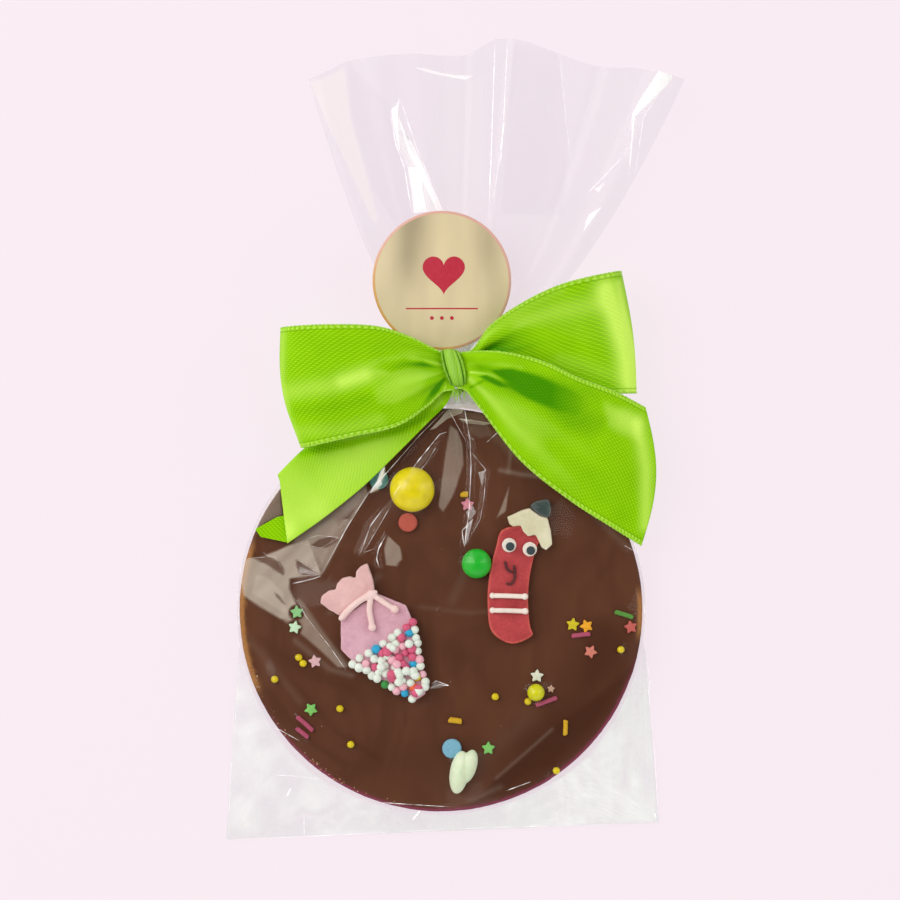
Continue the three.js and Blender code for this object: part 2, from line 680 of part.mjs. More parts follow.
function addSchoolCone() {
  const group = new THREE.Group();
  group.position.set(cone.x, cone.y, discFace + seat);
  group.rotation.z = THREE.MathUtils.degToRad(cone.turn);
  addPiece(group, 'cone_wrap', coneWrap(), 'mauveSugar');
  addPiece(group, 'cone_ruff', coneRuff(), 'peachSugar');
  addPiece(group, 'cone_tie', coneTie(), 'paleSugar');
  model.add(group);
}

function addPencil() {
  const { thick, bevel } = pencil;
  addPiece(model, 'pencil_body', onChocolate(pencilBody(), 0, 0), 'redSugar');
  const wood = plate(pencilCap, thick + 0.9, bevel, false);
  const lead = plate(pencilLeadOutline, thick + 1.1, 0.7, true, 16);
  addPiece(model, 'pencil_wood', onChocolate(wood, 0, 0), 'creamSugar');
  addPiece(model, 'pencil_lead', onChocolate(lead, 0, 0), 'greySugar');
  Object.entries(eye.places).forEach(([side, [x, y]]) => {
    const white = dome(eye.radius, eye.high, 3, 16).translate(x, y, 0);
    addPiece(model, `pencil_eye_${side}`, onPencil(white), 'whiteSugar');
    const pupil = dome(eye.pupil, eye.pupilHigh, 2, 12).translate(x + 0.3, y - 0.4, eye.high + seat);
    addPiece(model, `pencil_pupil_${side}`, onPencil(pupil), 'greySugar');
  });
  addPiece(model, 'pencil_stripe_upper', pencilStripe(...stripes.upper), 'whiteSugar');
  addPiece(model, 'pencil_stripe_lower', pencilStripe(...stripes.lower), 'whiteSugar');
  const nose = [[20.6, 15.8], [20.9, 13.8], [22.6, 13.1]];
  const smile = [[23.5, 12], [23.4, 10.4], [22.3, 8.7], [20.7, 8.7]];
  addPiece(model, 'pencil_nose', pencilStroke(nose), 'brownSugar');
  addPiece(model, 'pencil_smile', pencilStroke(smile), 'brownSugar');
}

function addSweets() {
  Object.entries(domes).forEach(([name, { radius, high, x, y, rings, around, look }]) => {
    addPiece(model, name, onChocolate(dome(radius, high, rings, around), x, y), look);
  });
  Object.entries(buttons).forEach(([colour, { radius, high, x, y }]) => {
    addPiece(model, `${colour}_button`, onChocolate(button(radius, high), x, y), `${colour}Press`);
  });
  addPiece(model, 'mint_piece', mintPiece(), 'mintSugar');
}

addBag();
addPiece(model, 'chocolate_disc', chocolateDisc(), 'chocolate');
addSchoolCone();
addPencil();
addSweets();
addBow();

export default model;
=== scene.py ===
# Chocolate disc with sugar decorations, in a clear gift bag closed with a green satin bow
import math
import random

import bmesh
import bpy
import numpy as np
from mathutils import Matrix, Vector, noise


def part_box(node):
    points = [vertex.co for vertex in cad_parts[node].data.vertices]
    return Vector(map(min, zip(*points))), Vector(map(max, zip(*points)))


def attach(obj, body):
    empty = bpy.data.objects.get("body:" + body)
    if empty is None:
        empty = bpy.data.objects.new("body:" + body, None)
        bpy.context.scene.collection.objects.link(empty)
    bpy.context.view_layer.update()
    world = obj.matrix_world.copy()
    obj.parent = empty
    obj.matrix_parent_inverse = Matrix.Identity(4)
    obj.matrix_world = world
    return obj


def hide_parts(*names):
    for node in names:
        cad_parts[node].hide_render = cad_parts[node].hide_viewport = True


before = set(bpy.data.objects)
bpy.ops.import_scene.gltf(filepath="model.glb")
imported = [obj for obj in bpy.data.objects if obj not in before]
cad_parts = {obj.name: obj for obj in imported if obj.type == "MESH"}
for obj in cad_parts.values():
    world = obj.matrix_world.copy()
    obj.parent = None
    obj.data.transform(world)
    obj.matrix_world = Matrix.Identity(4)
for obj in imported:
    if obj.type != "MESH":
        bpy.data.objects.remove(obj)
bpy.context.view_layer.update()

mm = 0.001
pixel = 0.321  # millimetres of the object for each pixel of the 900 x 900 picture
centrePixel = (441, 610)  # where the disc's centre shows
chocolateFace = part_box("pencil_body")[0].z / mm  # what the flat sugar pieces lie on


# Small helpers

def linear(hexColour):
    channels = [int(hexColour[i:i + 2], 16) / 255 for i in (1, 3, 5)]
    return tuple(c / 12.92 if c <= 0.04045 else ((c + 0.055) / 1.055) ** 2.4 for c in channels) + (1.0,)


def perSize(millimetres):
    # pattern scale that gives features of this size
    return 1000 / millimetres


def onObject(points):
    # picture pixels to millimetres on the object
    return [((x - centrePixel[0]) * pixel, (centrePixel[1] - y) * pixel) for x, y in points]


def addNode(material, kind, settings=None, inputs=None):
    # an input takes a value, a socket, or a node whose first output it is linked to
    node = material.node_tree.nodes.new("ShaderNode" + kind)
    for name, value in (settings or {}).items():
        setattr(node, name, value)
    for name, value in (inputs or {}).items():
        if isinstance(value, bpy.types.Node):
            value = next(socket for socket in value.outputs if socket.enabled)
        if isinstance(value, bpy.types.NodeSocket):
            material.node_tree.links.new(value, node.inputs[name])
        else:
            node.inputs[name].default_value = value
    return node


colourMix = {"data_type": "RGBA"}


def startMaterial(name):
    material = bpy.data.materials.new(name)
    material.use_nodes = True
    material.node_tree.nodes.clear()
    return material


def endMaterial(material, shader):
    addNode(material, "OutputMaterial", inputs={"Surface": shader})
    return material


def addObject(name, data):
    made = bpy.data.objects.new(name, data)
    bpy.context.scene.collection.objects.link(made)
    return made


def addPiece(name, points, faces, material, slot, stands=(), smooth=True):
    mesh = bpy.data.meshes.new(name)
    mesh.from_pydata((np.asarray(points, float) * mm).tolist(), [], [list(map(int, f)) for f in faces])
    mesh.materials.append(material)
    mesh.polygons.foreach_set("use_smooth", [smooth] * len(mesh.polygons))
    piece = addObject(name, mesh)
    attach(piece, "root")
    if stands:
        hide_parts(*stands)
    return piece


def addNumbers(piece, name, values):
    attribute = piece.data.attributes.new(name, "FLOAT", "POINT")
    attribute.data.foreach_set("value", np.asarray(values, np.float32).ravel())


def addColours(piece, name, colours):
    attribute = piece.data.color_attributes.new(name, "FLOAT_COLOR", "POINT")
    attribute.data.foreach_set("color", np.asarray(colours, np.float32).ravel())


def gridFaces(columns, rows, closed=False):
    # quads of a grid whose points run along a column first
    faces = []
    for i in range(columns if closed else columns - 1):
        following = (i + 1) % columns
        for j in range(rows - 1):
            faces.append((i * rows + j, following * rows + j, following * rows + j + 1, i * rows + j + 1))
    return faces


def smoothCurve(points, shares):
    # centripetal Catmull-Rom curve through the points
    p = np.asarray(points, float)
    p = np.vstack([2 * p[0] - p[1], p, 2 * p[-1] - p[-2]])
    place = np.asarray(shares, float) * (len(p) - 3)
    i = np.minimum(place.astype(int), len(p) - 4)
    w = (place - i)[:, None]
    a, b, c, d = p[i], p[i + 1], p[i + 2], p[i + 3]
    ab, bc, cd = (np.maximum(np.linalg.norm(q - r, axis=1), 1e-6)[:, None] ** 0.5
                  for q, r in ((b, a), (c, b), (d, c)))
    leave = ((b - a) / ab - (c - a) / (ab + bc) + (c - b) / bc) * bc
    arrive = ((c - b) / bc - (d - b) / (bc + cd) + (d - c) / cd) * bc
    return b + leave * w + (3 * (c - b) - 2 * leave - arrive) * w**2 + (2 * (b - c) + leave + arrive) * w**3


def segmentDistance(x, y, start, end):
    run = np.array(end, float) - np.array(start, float)
    share = ((x - start[0]) * run[0] + (y - start[1]) * run[1]) / max(run @ run, 1e-9)
    share = np.clip(share, 0, 1)
    return np.hypot(x - start[0] - share * run[0], y - start[1] - share * run[1])


def insideOutline(x, y, outline):
    inside = np.zeros(np.shape(x), bool)
    for (ax, ay), (bx, by) in zip(outline, outline[1:] + outline[:1]):
        if ay != by:
            crossing = (ay > y) != (by > y)
            inside ^= crossing & (x < (bx - ax) * (y - ay) / (by - ay) + ax)
    return inside


def along(points, half, x, y, pulled=False):
    # 1 on a line of picture pixels, fading to nothing within a few half widths
    points = np.array(onObject(points))
    lengths = np.hypot(*np.diff(points, axis=0).T)
    starts = np.r_[0, np.cumsum(lengths)]
    away, share = np.full(np.shape(x), 1e9), np.zeros(np.shape(x))
    for a, b, start, length in zip(points, points[1:], starts, lengths):
        place = np.clip(((x - a[0]) * (b - a)[0] + (y - a[1]) * (b - a)[1]) / length**2, 0, 1)
        off = np.hypot(x - a[0] - place * (b - a)[0], y - a[1] - place * (b - a)[1])
        share = np.where(off < away, (start + place * length) / starts[-1], share)
        away = np.minimum(off, away)
    if not pulled:
        return np.exp(-((away / (half * pixel)) ** 2))
    return (1 - share) ** 0.8 * np.exp(-((away / (half * pixel * (0.35 + 1.1 * share))) ** 2))


def outlineDistance(x, y, outline):
    # how far inside an outline a point lies, 0 outside
    edges = zip(outline, outline[1:] + outline[:1])
    nearest = np.min([segmentDistance(x, y, a, b) for a, b in edges], axis=0)
    return np.where(insideOutline(x, y, outline), nearest, 0)


def smoothStep(values, low, high):
    t = np.clip((np.asarray(values, float) - low) / (high - low), 0, 1)
    return t * t * (3 - 2 * t)


def grain(points, size, seed=0):
    # smooth noise of about -1 to 1 at each point, with bumps of this size in millimetres
    offset = Vector((seed * 7.3, seed * 3.1, seed * 5.7))
    return np.array([noise.noise(Vector(p) / size + offset) for p in np.asarray(points, float)])


def tubeAlong(line, radii, sides=6):
    # rings of points round a line, and the faces between them with closed ends
    line = np.asarray(line, float)
    ahead = np.gradient(line, axis=0)
    ahead /= np.maximum(np.linalg.norm(ahead, axis=1), 1e-9)[:, None]
    side = np.cross(ahead, (0.03, 0.02, 1.0))
    side /= np.linalg.norm(side, axis=1)[:, None]
    up = np.cross(side, ahead)
    turn = np.arange(sides) * 2 * math.pi / sides
    radii = np.broadcast_to(np.asarray(radii, float), len(line))[:, None, None]
    rings = line[:, None] + radii * (np.cos(turn)[:, None] * side[:, None]
                                     + np.sin(turn)[:, None] * up[:, None])
    faces = []
    for i in range(len(line) - 1):
        for j in range(sides):
            k = (j + 1) % sides
            faces.append((i * sides + j, i * sides + k, (i + 1) * sides + k, (i + 1) * sides + j))
    faces.append(tuple(range(sides))[::-1])
    faces.append(tuple((len(line) - 1) * sides + j for j in range(sides)))
    return rings.reshape(-1, 3), faces


def joined(parts):
    # several point and face lists as one
    points, faces, count = [], [], 0
    for partPoints, partFaces in parts:
        points.append(np.asarray(partPoints, float))
        faces += [tuple(index + count for index in face) for face in partFaces]
        count += len(partPoints)
    return np.vstack(points), faces


def ball(detail):
    shape = bmesh.new()
    bmesh.ops.create_icosphere(shape, subdivisions=detail, radius=1)
    points = np.array([v.co[:] for v in shape.verts])
    faces = [tuple(v.index for v in f.verts) for f in shape.faces]
    shape.free()
    return points, faces


def turnedForm(profile, segments):
    # a form turned round Z from radius and height pairs that start and end on the axis
    rings = profile[1:-1]
    turn = np.arange(segments) * 2 * math.pi / segments
    points = [(r * c, r * s, z) for c, s in zip(np.cos(turn), np.sin(turn)) for r, z in rings]
    faces = gridFaces(segments, len(rings), closed=True)
    low, high = len(points), len(points) + 1
    points += [(0, 0, profile[0][1]), (0, 0, profile[-1][1])]
    count = len(rings)
    for i in range(segments):
        following = (i + 1) % segments
        faces.append((low, following * count, i * count))
        faces.append((high, i * count + count - 1, following * count + count - 1))
    return np.array(points), faces


# Materials

def temperedChocolate():
    # milk couverture poured flat and set: satin brown, faint flow marks, a tan painted highlight where the
    # rim's side catches the light, and a rosy fringe; the dark attribute adds drag marks and painted shade
    material = startMaterial("temperedChocolate")
    place = addNode(material, "TexCoord").outputs["Object"]
    stretched = addNode(material, "Mapping", inputs={
        "Vector": place, "Rotation": (0, 0, math.radians(38)), "Scale": (1.0, 0.5, 1.0)})
    flow = addNode(material, "TexNoise", inputs={
        "Vector": stretched, "Scale": perSize(16), "Detail": 5, "Distortion": 1.4})
    flowShare = addNode(material, "MapRange", inputs={
        "Value": flow, "From Min": 0.36, "From Max": 0.68, "To Min": 0.15, "To Max": 0.7})
    dark = addNode(material, "Attribute", {"attribute_name": "dark"})
    tan = addNode(material, "Attribute", {"attribute_name": "tan"})
    rosy = addNode(material, "Attribute", {"attribute_name": "rosy"})
    body = addNode(material, "Mix", colourMix, {
        "Factor": flowShare, "A": linear("#522D1A"), "B": linear("#643C27")})
    # the dark attribute mixes in this darker brown: drag marks and painted shade
    deep = addNode(material, "Mix", colourMix, {
        "Factor": dark.outputs["Fac"], "A": body, "B": linear("#45220F")})
    grit = addNode(material, "TexNoise", inputs={"Vector": place, "Scale": perSize(0.8), "Detail": 4})
    gritShare = addNode(material, "Math", {"operation": "MULTIPLY_ADD", "use_clamp": True}, {
        0: grit, 1: 1.2, 2: 0.35})
    # tan painted highlight on the rim's side, broken up by grit
    tanShare = addNode(material, "Math", {"operation": "MULTIPLY"}, {0: tan.outputs["Fac"], 1: gritShare})
    rim = addNode(material, "Mix", colourMix, {"Factor": tanShare, "A": deep, "B": linear("#A87440")})
    fringe = addNode(material, "Mix", colourMix, {
        "Factor": rosy.outputs["Fac"], "A": rim, "B": linear("#8A3A55")})
    ripple = addNode(material, "TexNoise", inputs={"Vector": place, "Scale": perSize(5), "Detail": 3})
    bump = addNode(material, "Bump", inputs={"Height": ripple, "Strength": 0.12, "Distance": 0.6 * mm})
    shader = addNode(material, "BsdfPrincipled", inputs={
        "Base Color": fringe, "Roughness": 0.45, "IOR": 1.46, "Specular IOR Level": 0.2, "Normal": bump})
    return endMaterial(material, shader)


def castFilm(name, clearTint, veilColours, glow):
    # cast polypropylene film: clear with sharp reflections, hazy white where it is creased or lies in
    # layers; the white also carries painted reflections and glints, and glows a little as painted light
    material = startMaterial(name)
    hazeAndGlare = addNode(material, "Attribute", {"attribute_name": "hazeAndGlare"})
    shade = addNode(material, "Attribute", {"attribute_name": "shade"})
    tint = addNode(material, "Mix", colourMix, {
        "Factor": shade.outputs["Fac"], "A": linear("#FFFFFF"), "B": linear(clearTint)})
    facing = addNode(material, "LayerWeight", inputs={"Blend": 0.5})
    steep = addNode(material, "Math", {"operation": "POWER"}, {0: facing.outputs["Facing"], 1: 3.0})
    angled = addNode(material, "Math", {"operation": "MULTIPLY_ADD", "use_clamp": True}, {
        0: steep, 1: 0.5, 2: 0.045})
    shine = addNode(material, "Attribute", {"attribute_name": "shine"})
    mirror = addNode(material, "Math", {"operation": "MULTIPLY"}, {0: angled, 1: shine.outputs["Fac"]})
    through = addNode(material, "BsdfTransparent", inputs={"Color": tint})
    gloss = addNode(material, "BsdfAnisotropic", inputs={"Color": linear("#FFFFFF"), "Roughness": 0.09})
    clear = addNode(material, "MixShader", inputs={0: mirror, 1: through, 2: gloss})
    outside = addNode(material, "Math", {"operation": "MULTIPLY", "use_clamp": True}, {
        0: shade.outputs["Fac"], 1: 8.0})
    haze = addNode(material, "Mix", colourMix, {
        "Factor": outside, "A": linear(veilColours[0]), "B": linear(veilColours[1])})
    # the white haze glows by the glow strength: painted light for the glints
    white = addNode(material, "BsdfPrincipled", inputs={
        "Base Color": haze, "Roughness": 0.3, "IOR": 1.49,
        "Emission Color": linear("#FFFFFF"), "Emission Strength": glow})
    film = addNode(material, "MixShader", inputs={0: hazeAndGlare.outputs["Fac"], 1: clear, 2: white})
    return endMaterial(material, film)


def wovenSatin(name, colours, width, hemTone=0.5, dull=0.0):
    # polyester satin ribbon: diagonal twill ribs, threads a little uneven, a painted soft silky highlight
    # where the lit attribute is, and painted shade towards the deep colour where the hollow attribute is
    plain, cloudy, deep, rib, silky, grooveTint = (linear(colour) for colour in colours)
    material = startMaterial(name)
    weave = addNode(material, "UVMap", {"uv_map": "weave"})
    # real ribs are about 0.4 mm apart: drawn 1 mm apart so that they show
    ribs = addNode(material, "TexWave", {"wave_type": "BANDS", "bands_direction": "DIAGONAL"}, {
        "Vector": weave, "Scale": 0.44, "Distortion": 0.35, "Detail": 1.0, "Detail Scale": 2.0})
    threads = addNode(material, "TexNoise", {"noise_dimensions": "2D"}, {
        "Vector": weave, "Scale": 1.6, "Detail": 2.0})
    place = addNode(material, "TexCoord").outputs["Object"]
    cloud = addNode(material, "TexNoise", inputs={"Vector": place, "Scale": perSize(14), "Detail": 2})
    cloudShare = addNode(material, "MapRange", inputs={"Value": cloud, "From Min": 0.3, "From Max": 0.7})
    # painted shade and painted highlight: hollow mixes towards the deep colour, lit towards the silky colour
    hollow = addNode(material, "Attribute", {"attribute_name": "hollow"})
    lit = addNode(material, "Attribute", {"attribute_name": "lit"})
    ground = addNode(material, "Mix", colourMix, {"Factor": cloudShare, "A": plain, "B": cloudy})
    bright = addNode(material, "Mix", colourMix, {"Factor": lit.outputs["Fac"], "A": ground, "B": silky})
    shaded = addNode(material, "Mix", colourMix, {"Factor": hollow.outputs["Fac"], "A": bright, "B": deep})
    ribDepth = addNode(material, "Math", {"operation": "MULTIPLY_ADD"}, {
        0: hollow.outputs["Fac"], 1: -0.5, 2: 0.68})
    floats = addNode(material, "TexWave", {"wave_type": "BANDS", "bands_direction": "Y"}, {
        "Vector": weave, "Scale": 0.5, "Distortion": 0.4, "Detail": 1.0})
    ribLift = addNode(material, "Math", {"operation": "MULTIPLY"}, {
        0: ribs.outputs["Fac"], 1: floats.outputs["Fac"]})
    ribShare = addNode(material, "Math", {"operation": "MULTIPLY"}, {0: ribLift, 1: ribDepth})
    twill = addNode(material, "Mix", colourMix, {"Factor": ribShare, "A": shaded, "B": rib})
    # the selvage: a woven edge 1.1 mm wide with short cross stitches, and a groove beside it
    apart = addNode(material, "SeparateXYZ", inputs={0: weave})
    fromEdge = addNode(material, "Math", {"operation": "PINGPONG"}, {0: apart.outputs["Y"], 1: width / 2})
    groove = addNode(material, "Math", {"operation": "COMPARE"}, {0: fromEdge, 1: 1.35, 2: 0.22})
    hem = addNode(material, "Math", {"operation": "LESS_THAN"}, {0: fromEdge, 1: 1.15})
    stitches = addNode(material, "TexWave", {"bands_direction": "X"}, {
        "Vector": weave, "Scale": 0.24, "Distortion": 0.0})
    stitchShare = addNode(material, "Math", {"operation": "MULTIPLY"}, {0: hem, 1: stitches.outputs["Fac"]})
    stitchTone = addNode(material, "Math", {"operation": "MULTIPLY"}, {0: stitchShare, 1: hemTone})
    grooveTone = addNode(material, "Math", {"operation": "MULTIPLY"}, {0: groove, 1: hemTone})
    grooved = addNode(material, "Mix", colourMix, {"Factor": grooveTone, "A": twill, "B": grooveTint})
    ribbed = addNode(material, "Mix", colourMix, {"Factor": stitchTone, "A": grooved, "B": silky})
    height = addNode(material, "Math", {"operation": "MULTIPLY_ADD"}, {
        0: threads, 1: 0.35, 2: ribs.outputs["Fac"]})
    bump = addNode(material, "Bump", inputs={"Height": height, "Strength": 0.45, "Distance": 0.12 * mm})
    shader = addNode(material, "BsdfPrincipled", inputs={
        "Base Color": ribbed, "Roughness": 0.4 + dull, "IOR": 1.5,
        "Specular IOR Level": 0.35, "Specular Tint": linear("#D4FF48"), "Sheen Weight": 0.06,
        "Sheen Roughness": 0.4, "Sheen Tint": linear("#C8FF50"), "Normal": bump})
    return endMaterial(material, shader)


def sugarPaste(name, light, dark, poreSize=0.7, roughness=0.75, relief=0.12, edge=0.25,
               edgeColour="#F6DCD4"):
    # rolled sugar paste: matt and powdery, with fine pores and a faintly mottled colour
    material = startMaterial(name)
    place = addNode(material, "TexCoord").outputs["Object"]
    pores = addNode(material, "TexNoise", inputs={
        "Vector": place, "Scale": perSize(poreSize), "Detail": 4, "Roughness": 0.6})
    mottle = addNode(material, "TexNoise", inputs={"Vector": place, "Scale": perSize(7), "Detail": 3})
    amount = addNode(material, "Math", {"operation": "MULTIPLY_ADD", "use_clamp": True}, {
        0: mottle, 1: 2.2, 2: -0.7})
    poreShare = addNode(material, "MapRange", inputs={
        "Value": pores, "From Min": 0.38, "From Max": 0.62, "To Min": -0.18, "To Max": 0.18})
    mixed = addNode(material, "Math", {"operation": "ADD", "use_clamp": True}, {0: amount, 1: poreShare})
    colour = addNode(material, "Mix", colourMix, {"Factor": mixed, "A": linear(light), "B": linear(dark)})
    # the cut edge is dusted with icing sugar; where the edge colour is strong, as the pink on the red
    # pencil, it is also a painted highlight along the rounded edge
    cut = addNode(material, "Attribute", {"attribute_name": "cutEdge"})
    dustAndSheen = addNode(material, "Math", {"operation": "MULTIPLY"}, {0: cut.outputs["Fac"], 1: edge})
    colour = addNode(material, "Mix", colourMix, {"Factor": dustAndSheen, "A": colour, "B": linear(edgeColour)})
    bump = addNode(material, "Bump", inputs={"Height": pores, "Strength": 0.5, "Distance": relief * mm})
    shader = addNode(material, "BsdfPrincipled", inputs={
        "Base Color": colour, "Roughness": roughness, "IOR": 1.45, "Subsurface Weight": 0.12,
        "Subsurface Radius": (0.6, 0.4, 0.3), "Subsurface Scale": 0.6 * mm, "Normal": bump})
    return endMaterial(material, shader)


def pannedSugar(name, roughness=0.3, mottleSize=2.5):
    # panned sugar shell in each bead's own colour: smooth and lightly polished, thin patches a touch darker
    material = startMaterial(name)
    place = addNode(material, "TexCoord").outputs["Object"]
    own = addNode(material, "VertexColor", {"layer_name": "tone"})
    mottle = addNode(material, "TexNoise", inputs={
        "Vector": place, "Scale": perSize(mottleSize), "Detail": 3})
    share = addNode(material, "MapRange", inputs={
        "Value": mottle, "From Min": 0.35, "From Max": 0.7, "To Min": 0.0, "To Max": 0.22})
    darker = addNode(material, "Mix", {"data_type": "RGBA", "blend_type": "MULTIPLY"}, {
        "Factor": share, "A": own.outputs["Color"], "B": linear("#9A8C80")})
    bump = addNode(material, "Bump", inputs={"Height": mottle, "Strength": 0.3, "Distance": 0.08 * mm})
    shader = addNode(material, "BsdfPrincipled", inputs={
        "Base Color": darker, "Roughness": roughness, "IOR": 1.46,
        "Specular IOR Level": 0.4, "Subsurface Weight": 0.1, "Subsurface Radius": (0.5, 0.4, 0.3),
        "Subsurface Scale": 0.5 * mm,
        "Normal": bump})
    return endMaterial(material, shader)


def coatedPaper():
    # satin coated sticker paper: warm cream with soft grey-olive shading down its sides
    material = startMaterial("coatedPaper")
    place = addNode(material, "TexCoord").outputs["Object"]
    streaks = addNode(material, "Mapping", inputs={
        "Vector": place, "Rotation": (0, 0, math.radians(-14)), "Scale": (1.0, 0.3, 1.0)})
    shadow = addNode(material, "TexNoise", inputs={"Vector": streaks, "Scale": perSize(11), "Detail": 2})
    share = addNode(material, "Attribute", {"attribute_name": "shading"})
    both = addNode(material, "Math", {"operation": "MULTIPLY_ADD", "use_clamp": True}, {
        0: shadow, 1: 0.9, 2: -0.33})
    total = addNode(material, "Math", {"operation": "ADD", "use_clamp": True}, {
        0: both, 1: share.outputs["Fac"]})
    cream = addNode(material, "Mix", colourMix, {
        "Factor": total, "A": linear("#E2D2A9"), "B": linear("#A89C7C")})
    edge = addNode(material, "Attribute", {"attribute_name": "rim"})
    golden = addNode(material, "Attribute", {"attribute_name": "golden"})
    warm = addNode(material, "Mix", colourMix, {
        "Factor": golden.outputs["Fac"], "A": linear("#DEAC9C"), "B": linear("#D6A050")})
    colour = addNode(material, "Mix", colourMix, {"Factor": edge.outputs["Fac"], "A": cream, "B": warm})
    fibre = addNode(material, "TexNoise", inputs={"Vector": place, "Scale": perSize(0.5), "Detail": 3})
    bump = addNode(material, "Bump", inputs={"Height": fibre, "Strength": 0.12, "Distance": 0.05 * mm})
    shader = addNode(material, "BsdfPrincipled", inputs={
        "Base Color": colour, "Roughness": 0.38, "IOR": 1.5, "Normal": bump})
    return endMaterial(material, shader)


def printedInk():
    # offset ink on coated paper: even crimson, a little thinner in places
    material = startMaterial("printedInk")
    place = addNode(material, "TexCoord").outputs["Object"]
    patches = addNode(material, "TexNoise", inputs={"Vector": place, "Scale": perSize(1.4), "Detail": 3})
    colour = addNode(material, "Mix", colourMix, {
        "Factor": patches, "A": linear("#B0122E"), "B": linear("#C93048")})
    shader = addNode(material, "BsdfPrincipled", inputs={
        "Base Color": colour, "Roughness": 0.42, "IOR": 1.5})
    return endMaterial(material, shader)


def coveredWire():
    # paper covered tie wire: dull ochre with a twisted ridge
    material = startMaterial("coveredWire")
    place = addNode(material, "TexCoord").outputs["Object"]
    twist = addNode(material, "TexWave", {"bands_direction": "DIAGONAL"}, {
        "Vector": place, "Scale": perSize(3), "Distortion": 1.0})
    colour = addNode(material, "Mix", colourMix, {
        "Factor": twist.outputs["Fac"], "A": linear("#8E7A48"), "B": linear("#C2AC70")})
    shader = addNode(material, "BsdfPrincipled", inputs={"Base Color": colour, "Roughness": 0.6})
    return endMaterial(material, shader)


def paleSweep():
    # matt pale pink card under soft light from all sides, so that hardly a shadow shows
    material = startMaterial("paleSweep")
    place = addNode(material, "TexCoord").outputs["Object"]
    fibre = addNode(material, "TexNoise", inputs={"Vector": place, "Scale": perSize(30), "Detail": 2})
    colour = addNode(material, "Mix", colourMix, {
        "Factor": fibre, "A": linear("#F9ECF3"), "B": linear("#F9EEF4")})
    card = addNode(material, "BsdfDiffuse", inputs={"Color": colour})
    glow = addNode(material, "Emission", inputs={"Color": colour, "Strength": 1.0})
    even = addNode(material, "MixShader", inputs={0: 0.88, 1: card, 2: glow})
    return endMaterial(material, even)


print("materials")
chocolate = temperedChocolate()
filmClear = castFilm("castFilm", "#DCD6E0", ["#F2E4CE", "#EEF3F1"], 0.08)
# crease glints: white film that glows, painted glints
creaseGlintFilm = castFilm("creaseGlintFilm", "#D8D4DC", ["#FFFFFF", "#FFFFFF"], 0.3)
satin = wovenSatin("wovenSatin", ["#76BA00", "#86CA00", "#318A00", "#BCF424", "#D2FC6C", "#64A404"], 38)
knotSatin = wovenSatin(
    "pulledSatin", ["#7EBC24", "#90CC38", "#3A6E18", "#B4DC70", "#C4F080", "#5C9228"], 7.6, hemTone=0.0,
    dull=0.1)
panned = pannedSugar("pannedSugar")
pressed = pannedSugar("pressedSugar", roughness=0.7, mottleSize=0.9)

# Chocolate disc

disc = {
    "radius": 65.0, "floor": 0.55, "face": 8.2, "lip": 0.25, "segments": 320,
    "tanLeft": (158, 206), "tanRight": (-10, 8),  # degrees round the rim where the tan painted highlight lies on its side
    "rosy": (205, 352),
    "darkLine": [(487, 790), (640, 660)],  # picture pixels: below and right of this line it is darker, painted shade
}


# Drag marks from pouring and smoothing, and painted shade such as the bow's shadow below the knot, in
# picture pixels: line, half width, how much darker
dragMarksAndShade = [
    ([(268, 690), (305, 738), (345, 764)], 4, 0.4), ([(296, 684), (335, 730), (380, 760)], 3, 0.3),
    ([(498, 784), (528, 762), (560, 732)], 5, 0.7), ([(404, 696), (406, 726)], 1.6, 0.35), ([(352, 604),
     (330, 606)], 4, 0.2), ([(262, 640), (300, 668), (352, 690)], 6, 0.35), ([(420, 640), (470, 660),
     (500, 700)], 12, 0.2), ([(560, 560), (596, 580), (630, 640)], 12, -0.3), ([(560, 700), (600, 690)],
     14, -0.25), ([(540, 740), (590, 690), (610, 640)], 26, 0.8), ([(380, 760), (440, 756), (500, 760)],
     26, 0.35), ([(452, 428), (462, 448)], 9, 0.8), ([(430, 430), (400, 462)], 6, 0.3),
]


def discProfile():
    edge = disc["face"] + disc["lip"]
    radius = disc["radius"]
    outer = [(radius - 1.2, disc["floor"]), (radius - 0.5, disc["floor"] + 0.35), (radius - 0.15, 1.6),
             (radius, 3.5), (radius, 5.5), (radius - 0.08, 7.3), (radius - 0.35, edge - 0.25),
             (radius - 0.8, edge), (radius - 1.3, edge - 0.02), (radius - 2.2, disc["face"] + 0.12),
             (radius - 3.2, disc["face"])]
    inner = [(r, disc["face"]) for r in np.linspace(radius - 4.5, 1.5, 60)]
    under = [(r, disc["floor"]) for r in (10, 30, 50)]
    return [(0, disc["floor"]), *under, *outer, *inner, (0, disc["face"])]


def withinTurn(angle, bounds, soft=6):
    low, high = bounds
    middle, half = (low + high) / 2, (high - low) / 2
    off = np.abs((angle - middle + 180) % 360 - 180)
    return 1 - smoothStep(off, half - soft, half)


